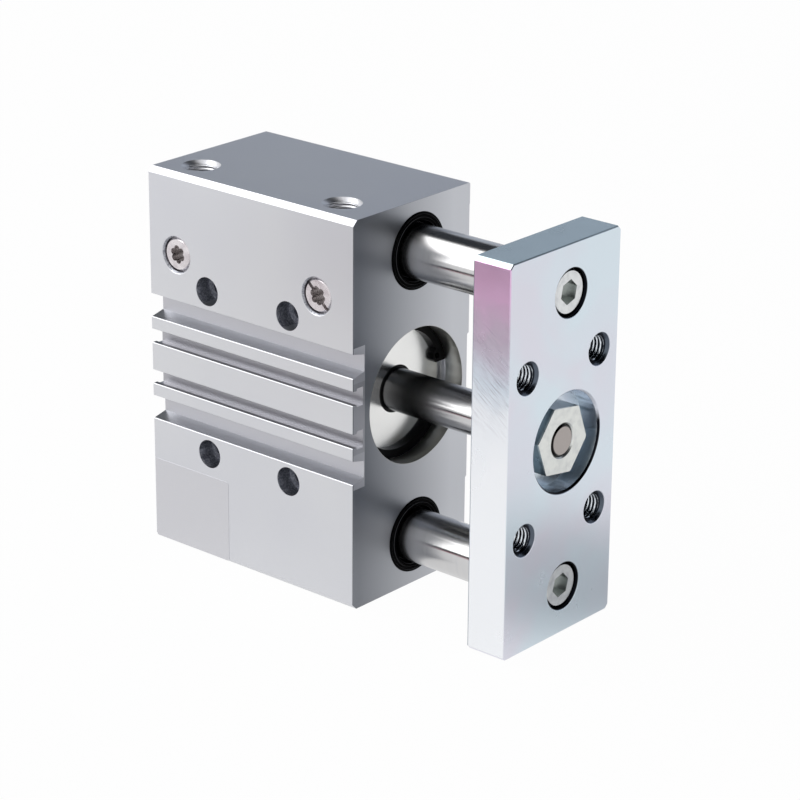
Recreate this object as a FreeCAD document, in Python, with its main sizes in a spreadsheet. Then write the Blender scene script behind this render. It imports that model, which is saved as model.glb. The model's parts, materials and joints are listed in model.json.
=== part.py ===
"""Guided pneumatic cylinder: 50 mm bore, 50 mm stroke, two ball-guided rods and a yoke plate.

Frame, in millimetres: the piston axis is the X axis, with X = 0 at the rear face of the body
and +X towards the yoke plate; the slotted side faces -Y and +Z is up.
The plate is modelled fully extended.
"""
import FreeCAD, Part
import Sketcher
import os

doc = FreeCAD.newDocument("guided_cylinder")

# ---------------------------------------------------------------- driving dimensions
SIZES = {
    # motion, bores and rods
    "stroke": 50.0,
    "end_clearance": 0.15,
    "bore_dia": 50.0,
    "rod_dia": 16.0,
    "guide_dia": 20.0,
    "guide_edge": 19.0,
    "axis_setback": 3.0,
    # fits, all radial or per side
    "seat_gap": 0.02,
    "running_gap": 0.05,
    "piston_gap": 0.3,
    "free_gap": 0.3,
    # extruded body
    "body_height": 148.0,
    "body_depth": 63.5,
    "front_bevel": 2.0,
    "back_bevel": 0.5,
    "pad_rise": 0.5,
    "pad_inner": 16.0,
    "pad_outer": 41.0,
    "edge_land": 8.0,
    "relief_depth": 0.4,
    "strip_depth": 0.2,
    # sensor slots and outer grooves along the body
    "slot_spacing": 16.3,
    "slot_mouth": 5.4,
    "slot_width": 6.9,
    "slot_lip": 2.0,
    "slot_depth": 5.3,
    "groove_spacing": 40.6,
    "groove_mouth": 9.1,
    "groove_floor": 6.4,
    "groove_depth": 6.0,
    "edge_break": 0.2,
    # holes that fasten the body
    "mount_pitch": 40.0,
    "mount_rise": 64.0,
    "mount_start": 29.0,
    "mount_bore": 6.8,
    "mount_sink": 11.0,
    "mount_sink_depth": 7.0,
    "rear_thread_bore": 6.8,
    "rear_thread_pitch": 66.0,
    "rear_thread_depth": 16.0,
    # air ports
    "port_start": 13.5,
    "port_end_inset": 17.5,
    "port_setback": 13.75,
    "port_bore": 11.8,
    "port_thread_depth": 13.0,
    "port_bevel": 1.45,
    "port_drill": 8.0,
    "side_port_drop": 31.3,
    "side_port_bore": 13.2,
    "side_port_bevel": 0.7,
    "side_port_depth": 17.5,
    "passage_dia": 4.0,
    "passage_shift": 3.5,
    "passage_end": 8.0,
    # cap seats, caps and retaining rings
    "cap_seat_dia": 51.6,
    "front_recess": 10.0,
    "rear_recess": 1.2,
    "cap_spigot_dia": 45.0,
    "front_cap_length": 13.0,
    "rear_cap_length": 7.0,
    "front_flange": 7.0,
    "rear_flange": 5.0,
    "cap_ring_depth": 2.9,
    "cap_ring_width": 3.0,
    "ring_thickness": 2.0,
    "ring_groove_depth": 1.5,
    "ring_slack": 0.1,
    "ring_band": 4.6,
    "ring_lug_length": 3.7,
    "ring_lug_width": 5.2,
    "ring_gap": 10.2,
    "ring_lug_hole": 2.5,
    # rod bush, seal and wiper inside the front cap
    "wiper_dia": 18.1,
    "wiper_width": 2.5,
    "web": 1.0,
    "rod_seal_dia": 23.0,
    "rod_seal_width": 3.5,
    "bush_dia": 19.0,
    # piston
    "piston_length": 14.0,
    "bumper_rise": 1.5,
    "bumper_sink": 1.5,
    "bumper_outer": 39.8,
    "bumper_inner": 27.0,
    "end_land": 1.4,
    "piston_seal_width": 2.6,
    "mid_land": 1.0,
    "piston_seal_root": 40.0,
    "magnet_root": 39.0,
    "magnet_outer": 47.0,
    "stud_dia": 10.0,
    "stud_nut_across": 16.0,
    "stud_nut_height": 5.0,
    "nut_pocket_dia": 22.0,
    "nut_pocket_depth": 5.5,
    "stud_ring_width": 2.2,
    "stud_ring_root": 13.4,
    # ball guides
    "guide_bore": 28.0,
    "guide_rear_bore": 22.5,
    "guide_seal_dia": 28.7,
    "guide_seal_depth": 5.0,
    "guide_seal_proud": 0.5,
    "bushing_length": 20.0,
    "bushing_wall": 0.8,
    "bushing_lip": 1.2,
    "cage_wall": 1.9,
    "ball_slot_width": 3.4,
    "ball_slot_length": 14.0,
    "spacer_length": 2.5,
    "spacer_wall": 2.4,
    "guide_rear_margin": 1.0,
    "guide_thread_depth": 20.0,
    # yoke plate
    "plate_gap": 3.0,
    "plate_thickness": 16.0,
    "plate_width": 61.0,
    "plate_inset": 1.0,
    "plate_bevel": 1.6,
    "plate_face_bevel": 0.4,
    "plate_thread_width": 40.0,
    "plate_thread_height": 60.0,
    "plate_thread_bore": 10.0,
    "plate_thread_bevel": 1.2,
    "guide_seat_depth": 1.0,
    "head_sink_dia": 17.5,
    "head_sink_depth": 8.1,
    "head_sink_bevel": 0.45,
    "nut_sink_dia": 36.6,
    "nut_sink_depth": 8.0,
    "nut_sink_bevel": 0.8,
    # fasteners
    "screw_dia": 10.0,
    "screw_gap": 0.3,
    "head_dia": 16.0,
    "head_height": 7.0,
    "head_bevel": 0.4,
    "head_socket": 8.0,
    "head_socket_depth": 4.5,
    "rod_thread_dia": 12.0,
    "rod_nut_across": 24.0,
    "rod_nut_height": 6.0,
    "rod_end_bevel": 0.8,
    "nut_mouth_bevel": 0.6,
    "nut_corner_break": 0.3,
    "plug_length": 9.0,
    "plug_sink": 0.8,
    "plug_bevel": 0.6,
    "plug_socket": 7.0,
    "plug_lobe": 2.6,
    "plug_socket_depth": 5.5,
    "plug_slot": 1.4,
    "plug_slot_depth": 2.0,
}

# ---------------------------------------------------------------- stations worked out from them
LAYOUT = {
    "chamber_start": "dims.rear_recess + dims.ring_thickness + dims.rear_cap_length",
    "piston_travel": "dims.stroke + 2 * dims.end_clearance",
    "chamber_end": "chamber_start + piston_travel + dims.piston_length + 2 * dims.bumper_rise",
    "front_cap_face": "chamber_end + dims.front_cap_length",
    "body_length": "front_cap_face + dims.front_recess",
    "front_shoulder": "front_cap_face - dims.front_flange",
    "rear_cap_face": "dims.rear_recess + dims.ring_thickness",
    "rear_shoulder": "rear_cap_face + dims.rear_flange",
    "front_y": "-dims.body_depth / 2 - dims.axis_setback",
    "back_y": "dims.body_depth / 2 - dims.axis_setback",
    "guide_z": "dims.body_height / 2 - dims.guide_edge",
    "port_y": "front_y + dims.port_setback",
    "port_pitch": "body_length - dims.port_end_inset - dims.port_start",
    "side_port_z": "dims.body_height / 2 - dims.side_port_drop",
    "guide_seat_start": "body_length - dims.guide_seal_depth - 2 * dims.bushing_length - dims.spacer_length",
    "piston_front": "chamber_end - dims.end_clearance - dims.bumper_rise",
    "piston_rear": "piston_front - dims.piston_length",
    "magnet_width": "dims.piston_length - 2 * (dims.end_land + dims.piston_seal_width + dims.mid_land)",
    "plate_back": "body_length + dims.plate_gap + dims.stroke",
    "plate_front": "plate_back + dims.plate_thickness",
    "guide_start": "dims.guide_rear_margin + dims.stroke",
    "head_floor": "plate_front - dims.head_sink_depth",
    "nut_floor": "plate_front - dims.nut_sink_depth",
    "nut_face": "nut_floor + dims.rod_nut_height",
    "flange_radius": "dims.cap_seat_dia / 2 - dims.running_gap",
    "cap_ring_root": "dims.cap_seat_dia / 2 - dims.cap_ring_depth",
    "ring_groove_radius": "dims.cap_seat_dia / 2 + dims.ring_groove_depth",
    "ring_outer": "ring_groove_radius - dims.ring_slack",
    "ring_inner": "ring_outer - dims.ring_band",
    "piston_radius": "dims.bore_dia / 2 - dims.piston_gap",
    "race_radius": "dims.guide_bore / 2 - dims.bushing_wall",
    "cage_bore": "dims.guide_dia / 2 + dims.free_gap",
}


def fill_sheet(name, cells):
    """A spreadsheet with one named row per entry; text in column A, value in column B."""
    sheet = doc.addObject("Spreadsheet::Sheet", name)
    for row, (alias, content) in enumerate(cells.items(), start=1):
        sheet.set(f"A{row}", alias)
        sheet.set(f"B{row}", str(content))
        sheet.setAlias(f"B{row}", alias)
    doc.recompute()
    return sheet


dims = fill_sheet("dims", SIZES)
layout = fill_sheet("layout", {alias: "=" + formula for alias, formula in LAYOUT.items()})


# ---------------------------------------------------------------- modelling helpers
def new_body(label):
    body = doc.addObject("PartDesign::Body", label)
    body.Label = label
    return body


def origin_plane(body, role):
    return next(item for item in body.Origin.OriginFeatures if item.Role == role)


def open_sketch(body, name, role, shift=None):
    """A sketch on one of the body's own origin planes, shifted by formulas along its axes."""
    sketch = body.newObject("Sketcher::SketchObject", name)
    sketch.AttachmentSupport = [(origin_plane(body, role), "")]
    sketch.MapMode = "FlatFace"
    for axis, formula in (shift or {}).items():
        sketch.setExpression(f"AttachmentOffset.Base.{axis}", formula)
    return sketch


def pin_point(sketch, geometry, point, formulas):
    """Fix one point of a sketch by formulas for its distance from the sketch origin."""
    for kind, formula in zip(("DistanceX", "DistanceY"), formulas):
        start = float(sketch.evalExpression(formula))
        index = sketch.addConstraint(Sketcher.Constraint(kind, -1, 1, geometry, point, start))
        sketch.setExpression(f"Constraints[{index}]", formula)


def draw_loop(sketch, corners):
    """A closed loop of straight edges through corners given as pairs of formulas."""
    places = [
        FreeCAD.Vector(float(sketch.evalExpression(x)), float(sketch.evalExpression(y)), 0)
        for x, y in corners
    ]
    count = len(corners)
    first = sketch.GeometryCount
    for i in range(count):
        sketch.addGeometry(Part.LineSegment(places[i], places[(i + 1) % count]))
    for i in range(count):
        following = first + (i + 1) % count
        sketch.addConstraint(Sketcher.Constraint("Coincident", first + i, 2, following, 1))
    for i, corner in enumerate(corners):
        pin_point(sketch, first + i, 1, corner)


def draw_circle(sketch, centre, radius):
    middle = [float(sketch.evalExpression(formula)) for formula in centre]
    size = float(sketch.evalExpression(radius))
    circle = Part.Circle(FreeCAD.Vector(middle[0], middle[1], 0), FreeCAD.Vector(0, 0, 1), size)
    index = sketch.addGeometry(circle)
    pin_point(sketch, index, 3, centre)
    constraint = sketch.addConstraint(Sketcher.Constraint("Radius", index, size))
    sketch.setExpression(f"Constraints[{constraint}]", radius)


def spin(body, kind, name, sketch):
    """A Revolution or Groove of a sketch about its own horizontal axis."""
    feature = body.newObject("PartDesign::" + kind, name)
    feature.Profile = sketch
    feature.ReferenceAxis = (sketch, ["H_Axis"])
    feature.Angle = 360
    return feature


def mirror(body, name, originals, role):
    feature = body.newObject("PartDesign::Mirrored", name)
    feature.Originals = originals
    feature.MirrorPlane = (origin_plane(body, role), [""])
    body.Tip = feature
    return feature


def repeat(body, name, originals, axis_role, spacing):
    """A second copy of the features at a spacing given by a formula."""
    feature = body.newObject("PartDesign::LinearPattern", name)
    feature.Originals = originals
    feature.Direction = (origin_plane(body, axis_role), [""])
    feature.setExpression("Length", spacing)
    feature.Occurrences = 2
    body.Tip = feature
    return feature


def place(body, x="0", y="0", z="0"):
    for axis, formula in (("x", x), ("y", y), ("z", z)):
        body.setExpression(f"Placement.Base.{axis}", formula)


def turned(label, profile, z="0"):
    """A turned piece: corners of (station, radius) spun about an axis along X."""
    body = new_body(label)
    sketch = open_sketch(body, label + "_profile", "XY_Plane")
    draw_loop(sketch, profile)
    spin(body, "Revolution", label + "_turning", sketch)
    place(body, z=z)
    return body


def hexagon(across):
    """Corners of a hexagon with two flats square to the sketch's horizontal axis."""
    flat = f"{across} / 2"
    half_side = f"{across} / sqrt(12)"
    tip = f"{across} / sqrt(3)"
    return [
        ("0", tip),
        (f"-({flat})", half_side),
        (f"-({flat})", f"-({half_side})"),
        ("0", f"-({tip})"),
        (flat, f"-({half_side})"),
        (flat, half_side),
    ]


def hex_socket(body, label, face, across, depth):
    """A blind hexagon cut into the face that looks along +X at the given station."""
    sketch = open_sketch(body, label + "_socket_sketch", "YZ_Plane", {"z": face})
    draw_loop(sketch, hexagon(across))
    pocket = body.newObject("PartDesign::Pocket", label + "_socket")
    pocket.Profile = sketch
    pocket.setExpression("Length", depth)
    return pocket


def ring_of(body, name, feature, count):
    """Repeat one feature evenly round the body's own X axis."""
    ring = body.newObject("PartDesign::PolarPattern", name)
    ring.Originals = [feature]
    ring.Axis = (origin_plane(body, "X_Axis"), [""])
    ring.Angle = 360
    ring.Occurrences = count
    body.Tip = ring


def star_socket(body, label, face, across, lobe, depth):
    """A blind six-lobed socket: a round core and one lobe repeated round it."""
    reach = f"({across} - {lobe}) / 2"
    cuts = []
    for part, centre, radius in (
        ("core", "0", f"{reach}"),
        ("lobe", reach, f"{lobe} / 2"),
    ):
        sketch = open_sketch(body, f"{label}_{part}_sketch", "YZ_Plane", {"z": face})
        draw_circle(sketch, ("0", centre), radius)
        pocket = body.newObject("PartDesign::Pocket", f"{label}_{part}")
        pocket.Profile = sketch
        pocket.setExpression("Length", depth)
        cuts.append(pocket)
    ring_of(body, label + "_lobes", cuts[1], 6)


# ---------------------------------------------------------------- body
def body_outline():
    """The extruded section: the upper half, then the same corners mirrored for the lower."""
    upper_front = []
    slot = "dims.slot_spacing / 2"
    lip_y = "layout.front_y + dims.slot_lip"
    slot_floor = "layout.front_y + dims.slot_depth"
    for side in ("-", "+"):
        corners = [
            ("layout.front_y", f"{slot} {side} (dims.slot_mouth / 2 + dims.edge_break)"),
            ("layout.front_y + dims.edge_break", f"{slot} {side} dims.slot_mouth / 2"),
            (lip_y, f"{slot} {side} dims.slot_mouth / 2"),
            (lip_y, f"{slot} {side} dims.slot_width / 2"),
            (slot_floor, f"{slot} {side} dims.slot_width / 2"),
        ]
        upper_front += corners if side == "-" else corners[::-1]
    middle = "dims.groove_spacing / 2"
    floor = "layout.front_y + dims.groove_depth"
    upper_front += [
        ("layout.front_y", f"{middle} - dims.groove_mouth / 2 - dims.edge_break"),
        ("layout.front_y + dims.edge_break", f"{middle} - dims.groove_mouth / 2"),
        (floor, f"{middle} - dims.groove_floor / 2"),
        (floor, f"{middle} + dims.groove_floor / 2"),
        ("layout.front_y + dims.edge_break", f"{middle} + dims.groove_mouth / 2"),
        ("layout.front_y", f"{middle} + dims.groove_mouth / 2 + dims.edge_break"),
    ]
    top = "dims.body_height / 2"
    pad = "layout.back_y + dims.pad_rise"
    strip = "layout.back_y - dims.strip_depth"
    relief = "layout.back_y - dims.relief_depth"
    upper_rest = [
        ("layout.front_y", f"{top} - dims.front_bevel"),
        ("layout.front_y + dims.front_bevel", top),
        ("layout.back_y - dims.back_bevel", top),
        ("layout.back_y", f"{top} - dims.back_bevel"),
        ("layout.back_y", f"{top} - dims.edge_land"),
        (strip, f"{top} - dims.edge_land - dims.strip_depth"),
        (strip, "dims.pad_outer"),
        (pad, "dims.pad_outer - dims.pad_rise"),
        (pad, "dims.pad_inner + dims.pad_rise"),
        (relief, "dims.pad_inner"),
    ]
    upper = upper_front + upper_rest
    lower = [(y, f"-({z})") for y, z in reversed(upper)]
    return upper + lower


def make_housing():
    body = new_body("housing")
    section = open_sketch(body, "housing_section", "YZ_Plane")
    draw_loop(section, body_outline())
    extrusion = body.newObject("PartDesign::Pad", "housing_extrusion")
    extrusion.Profile = section
    extrusion.setExpression("Length", "layout.body_length")

    seat = "dims.cap_seat_dia / 2"
    bore = "dims.bore_dia / 2"
    ring = "layout.ring_groove_radius"
    rear_ring_start = "layout.rear_cap_face - dims.ring_thickness - dims.ring_slack"
    front_ring_end = "layout.front_cap_face + dims.ring_thickness + dims.ring_slack"
    bore_sketch = open_sketch(body, "cylinder_bore_profile", "XY_Plane")
    draw_loop(bore_sketch, [
        ("0", "0"),
        ("0", seat),
        (rear_ring_start, seat),
        (rear_ring_start, ring),
        ("layout.rear_cap_face", ring),
        ("layout.rear_cap_face", seat),
        ("layout.rear_shoulder", seat),
        ("layout.rear_shoulder", bore),
        ("layout.front_shoulder", bore),
        ("layout.front_shoulder", seat),
        ("layout.front_cap_face", seat),
        ("layout.front_cap_face", ring),
        (front_ring_end, ring),
        (front_ring_end, seat),
        ("layout.body_length", seat),
        ("layout.body_length", "0"),
    ])
    spin(body, "Groove", "cylinder_bore", bore_sketch)

    seal_start = "layout.body_length - dims.guide_seal_depth"
    guide = "dims.guide_bore / 2"
    rear = "dims.guide_rear_bore / 2"
    seal = "dims.guide_seal_dia / 2 + dims.running_gap"
    guide_sketch = open_sketch(body, "guide_bore_profile", "XY_Plane", {"z": "layout.guide_z"})
    draw_loop(guide_sketch, [
        ("0", "0"),
        ("0", f"{rear} + dims.front_bevel / 2"),
        ("dims.front_bevel / 2", rear),
        ("layout.guide_seat_start", rear),
        ("layout.guide_seat_start", guide),
        (seal_start, guide),
        (seal_start, seal),
        ("layout.body_length", seal),
        ("layout.body_length", "0"),
    ])
    guide_bore = spin(body, "Groove", "guide_bore", guide_sketch)
    mirror(body, "guide_bores", [guide_bore], "XY_Plane")

    # XZ_Plane looks along -Y, so a shift of half the depth puts a sketch on the slotted side.
    side = {"z": "-layout.front_y"}
    mount_sketch = open_sketch(body, "mount_hole_centres", "XZ_Plane", side)
    for x in ("dims.mount_start", "dims.mount_start + dims.mount_pitch"):
        for z in ("dims.mount_rise / 2", "-dims.mount_rise / 2"):
            draw_circle(mount_sketch, (x, z), "dims.mount_bore / 2")
    doc.recompute()
    mounts = body.newObject("PartDesign::Hole", "mount_holes")
    mounts.Profile = mount_sketch
    mounts.ThreadType = "None"
    mounts.DepthType = "ThroughAll"
    mounts.HoleCutType = "Counterbore"
    mounts.HoleCutCustomValues = True
    mounts.setExpression("Diameter", "dims.mount_bore")
    mounts.setExpression("HoleCutDiameter", "dims.mount_sink")
    mounts.setExpression("HoleCutDepth", "dims.mount_sink_depth")

    # Rear threads open on the rear face; the pocket runs along +X into the body.
    rear_sketch = open_sketch(body, "rear_thread_centres", "YZ_Plane")
    for z in ("dims.rear_thread_pitch / 2", "-dims.rear_thread_pitch / 2"):
        draw_circle(rear_sketch, ("0", z), "dims.rear_thread_bore / 2")
    rear_threads = body.newObject("PartDesign::Pocket", "rear_threads")
    rear_threads.Profile = rear_sketch
    rear_threads.Reversed = True
    rear_threads.setExpression("Length", "dims.rear_thread_depth")

    port_top = "dims.body_height / 2"
    mouth = "dims.port_bore / 2"
    port_sketch = open_sketch(body, "top_port_profile", "YZ_Plane", {"z": "dims.port_start"})
    draw_loop(port_sketch, [
        ("layout.port_y", port_top),
        (f"layout.port_y + {mouth} + dims.port_bevel", port_top),
        (f"layout.port_y + {mouth}", f"{port_top} - dims.port_bevel"),
        (f"layout.port_y + {mouth}", f"{port_top} - dims.port_thread_depth"),
        ("layout.port_y + dims.port_drill / 2", f"{port_top} - dims.port_thread_depth"),
        ("layout.port_y + dims.port_drill / 2", "layout.side_port_z"),
        ("layout.port_y", "layout.side_port_z"),
    ])
    axis_line = port_sketch.addGeometry(
        Part.LineSegment(FreeCAD.Vector(-1, 0, 0), FreeCAD.Vector(-1, 1, 0)), True)
    pin_point(port_sketch, axis_line, 1, ("layout.port_y", "0"))
    pin_point(port_sketch, axis_line, 2, ("layout.port_y", "layout.side_port_z"))
    top_port = body.newObject("PartDesign::Groove", "top_port")
    top_port.Profile = port_sketch
    top_port.ReferenceAxis = (port_sketch, ["Axis0"])
    top_port.Angle = 360

    side_mouth = "dims.side_port_bore / 2"
    side_floor = "layout.front_y + dims.side_port_depth"
    side_sketch = open_sketch(
        body, "side_port_profile", "XY_Plane", {"z": "layout.side_port_z"})
    draw_loop(side_sketch, [
        ("dims.port_start", "layout.front_y"),
        (f"dims.port_start + {side_mouth} + dims.side_port_bevel", "layout.front_y"),
        (f"dims.port_start + {side_mouth}", "layout.front_y + dims.side_port_bevel"),
        (f"dims.port_start + {side_mouth}", side_floor),
        ("dims.port_start", side_floor),
    ])
    side_axis = side_sketch.addGeometry(
        Part.LineSegment(FreeCAD.Vector(5, -1, 0), FreeCAD.Vector(5, 1, 0)), True)
    pin_point(side_sketch, side_axis, 1, ("dims.port_start", "layout.front_y"))
    pin_point(side_sketch, side_axis, 2, ("dims.port_start", "0"))
    side_port = body.newObject("PartDesign::Groove", "side_port")
    side_port.Profile = side_sketch
    side_port.ReferenceAxis = (side_sketch, ["Axis0"])
    side_port.Angle = 360

    # The air passage drops from the side port to the edge of the cylinder bore.
    passage_sketch = open_sketch(
        body, "passage_circle", "XY_Plane", {"z": "layout.side_port_z"})
    draw_circle(passage_sketch, ("dims.port_start - dims.passage_shift", "layout.port_y"),
                "dims.passage_dia / 2")
    passage = body.newObject("PartDesign::Pocket", "passage")
    passage.Profile = passage_sketch
    passage.setExpression("Length", "layout.side_port_z - dims.passage_end")
    repeat(body, "port_pair", [top_port, side_port, passage], "X_Axis", "layout.port_pitch")
    return body


# ---------------------------------------------------------------- caps, rings and seals
def cap_ring_groove(start, outer):
    """Corners of the sealing-ring groove in a cap's flange, from its rear edge forward."""
    root = "layout.cap_ring_root"
    end = f"{start} + dims.cap_ring_width"
    return [(start, outer), (start, root), (end, root), (end, outer)]


def make_front_cap():
    face = "layout.front_cap_face"
    outer = "layout.flange_radius"
    spigot = "dims.cap_spigot_dia / 2"
    clear = "dims.rod_dia / 2 + dims.free_gap"
    wiper = "dims.wiper_dia / 2"
    rod_seal = "dims.rod_seal_dia / 2"
    bush = "dims.bush_dia / 2"
    wiper_floor = f"{face} - dims.wiper_width"
    seal_end = f"{wiper_floor} - dims.web"
    seal_start = f"{seal_end} - dims.rod_seal_width"
    bush_end = f"{seal_start} - dims.web"
    ring_start = "layout.front_shoulder + (dims.front_flange - dims.cap_ring_width) / 2"
    turned("front_bearing_cap", [
        ("layout.chamber_end", spigot),
        ("layout.front_shoulder", spigot),
        ("layout.front_shoulder", outer),
        *cap_ring_groove(ring_start, outer),
        (face, outer),
        (face, wiper),
        (wiper_floor, wiper),
        (wiper_floor, clear),
        (seal_end, clear),
        (seal_end, rod_seal),
        (seal_start, rod_seal),
        (seal_start, clear),
        (bush_end, clear),
        (bush_end, bush),
        ("layout.chamber_end", bush),
    ])
    turned("rod_bush", [
        ("layout.chamber_end", f"{bush} - dims.seat_gap"),
        (bush_end, f"{bush} - dims.seat_gap"),
        (bush_end, "dims.rod_dia / 2 + dims.running_gap"),
        ("layout.chamber_end", "dims.rod_dia / 2 + dims.running_gap"),
    ])
    lip = "dims.rod_dia / 2 + dims.running_gap"
    turned("rod_seal", [
        (seal_start, f"{rod_seal} - dims.seat_gap"),
        (seal_end, f"{rod_seal} - dims.seat_gap"),
        (seal_end, f"{rod_seal} - dims.web / 2"),
        (f"{seal_start} + dims.rod_seal_width / 3", f"{rod_seal} - dims.web"),
        (f"{seal_start} + dims.rod_seal_width / 3", f"{lip} + dims.web"),
        (f"{seal_end} - dims.web / 2", f"{lip} + dims.web / 2"),
        (f"{seal_end} - dims.web / 2", lip),
        (seal_start, f"{lip} + dims.free_gap"),
    ])
    turned("rod_wiper", [
        (wiper_floor, f"{wiper} - dims.seat_gap"),
        (face, f"{wiper} - dims.seat_gap"),
        (f"{face} + dims.free_gap", f"{wiper} - dims.free_gap"),
        (f"{face} + dims.free_gap", lip),
        (f"{face} - dims.web / 2", lip),
        (f"{wiper_floor} + dims.web / 2", f"{lip} + dims.free_gap"),
        (wiper_floor, f"{lip} + dims.free_gap"),
    ])


def make_rear_cap():
    face = "layout.rear_cap_face"
    outer = "layout.flange_radius"
    ring_start = f"{face} + (dims.rear_flange - dims.cap_ring_width) / 2"
    dish = "dims.cap_spigot_dia / 3"
    turned("rear_end_cap", [
        (f"{face} + dims.web", "0"),
        (f"{face} + dims.web", dish),
        (face, f"{dish} + dims.web"),
        (face, outer),
        *cap_ring_groove(ring_start, outer),
        ("layout.rear_shoulder", outer),
        ("layout.rear_shoulder", "dims.cap_spigot_dia / 2"),
        ("layout.chamber_start", "dims.cap_spigot_dia / 2"),
        ("layout.chamber_start", "0"),
    ])


def make_sealing_ring(label, middle, inner, outer):
    """A round rubber ring squeezed between two radii given as formulas."""
    ring = doc.addObject("Part::Torus", label)
    ring.Label = label
    ring.setExpression("Radius1", f"({inner} + {outer}) / 2")
    ring.setExpression("Radius2", f"({outer} - ({inner})) / 2")
    ring.Placement = FreeCAD.Placement(
        FreeCAD.Vector(), FreeCAD.Rotation(FreeCAD.Vector(0, 1, 0), 90))
    place(ring, x=middle)


def make_cap_rings():
    inner = "layout.cap_ring_root + dims.seat_gap"
    outer = "dims.cap_seat_dia / 2 - dims.seat_gap"
    make_sealing_ring(
        "front_cap_o_ring", "layout.front_shoulder + dims.front_flange / 2", inner, outer)
    make_sealing_ring(
        "rear_cap_o_ring", "layout.rear_cap_face + dims.rear_flange / 2", inner, outer)


def make_retaining_ring(label, rear_face):
    """An internal retaining ring with two eyed lugs; its gap faces +Y."""
    body = new_body(label)
    outer = "layout.ring_outer"
    inner = "layout.ring_inner"
    band_sketch = open_sketch(body, label + "_band_sketch", "YZ_Plane", {"z": rear_face})
    draw_circle(band_sketch, ("0", "0"), outer)
    draw_circle(band_sketch, ("0", "0"), inner)
    band = body.newObject("PartDesign::Pad", label + "_band")
    band.Profile = band_sketch
    band.setExpression("Length", "dims.ring_thickness")

    lug_start = "dims.ring_gap / 2"
    lug_end = f"{lug_start} + dims.ring_lug_width"
    lug_tip = f"({inner} - dims.ring_lug_length)"
    lug_root = f"{inner} + dims.web"
    round_off = "dims.ring_lug_width / 4"
    lug_sketch = open_sketch(body, label + "_lug_sketch", "YZ_Plane", {"z": rear_face})
    draw_loop(lug_sketch, [
        (f"{lug_tip} + {round_off}", lug_start),
        (lug_root, lug_start),
        (f"{lug_root} - {round_off}", lug_end),
        (f"{lug_tip} + {round_off}", lug_end),
        (lug_tip, f"{lug_end} - {round_off}"),
        (lug_tip, f"{lug_start} + {round_off}"),
    ])
    lug = body.newObject("PartDesign::Pad", label + "_lug")
    lug.Profile = lug_sketch
    lug.setExpression("Length", "dims.ring_thickness")
    eye_sketch = open_sketch(body, label + "_eye_sketch", "YZ_Plane", {"z": rear_face})
    eye_centre = (f"({lug_tip} + {inner}) / 2", f"({lug_start} + {lug_end}) / 2")
    draw_circle(eye_sketch, eye_centre, "dims.ring_lug_hole / 2")
    eye = body.newObject("PartDesign::Pocket", label + "_eye")
    eye.Profile = eye_sketch
    eye.Midplane = True
    eye.setExpression("Length", "4 * dims.ring_thickness")
    mirror(body, label + "_lugs", [lug, eye], "XY_Plane")

    gap_sketch = open_sketch(body, label + "_gap_sketch", "YZ_Plane", {"z": rear_face})
    draw_loop(gap_sketch, [
        ("0", "-dims.ring_gap / 2"),
        ("2 * layout.ring_outer", "-dims.ring_gap / 2"),
        ("2 * layout.ring_outer", "dims.ring_gap / 2"),
        ("0", "dims.ring_gap / 2"),
    ])
    gap = body.newObject("PartDesign::Pocket", label + "_gap")
    gap.Profile = gap_sketch
    gap.Midplane = True
    gap.setExpression("Length", "4 * dims.ring_thickness")


# ---------------------------------------------------------------- ball guides
def make_guide_seal(label, z):
    """A black wiper with concentric ribs on its face and a lip that bears on the rod."""
    outer = "dims.guide_seal_dia / 2"
    lip = "dims.guide_dia / 2 + dims.running_gap"
    face = "layout.body_length + dims.guide_seal_proud"
    start = "layout.body_length - dims.guide_seal_depth"
    rib = "dims.web * 0.35"
    profile = [
        (start, outer),
        (f"{face} - {rib}", outer),
        (face, f"{outer} - {rib}"),
    ]
    for count in range(3):
        edge = f"{outer} - dims.web * {0.85 + 0.8 * count:.2f}"
        profile += [
            (face, edge),
            (f"{face} - {rib}", f"{edge} - {rib} / 2"),
            (face, f"{edge} - {rib}"),
        ]
    throat = f"{outer} - 3 * dims.web"
    profile += [
        (face, throat),
        (f"{face} - dims.guide_seal_depth / 2", f"{throat} - dims.web / 2"),
        (f"{face} - dims.guide_seal_depth * 0.6", lip),
        (f"{face} - dims.guide_seal_depth * 0.7", f"{lip} + dims.free_gap"),
        (f"{face} - dims.guide_seal_depth * 0.85", f"{throat} - dims.web / 2"),
        (start, f"{throat} - dims.web / 2"),
    ]
    turned(label, profile, z=z)


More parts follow.
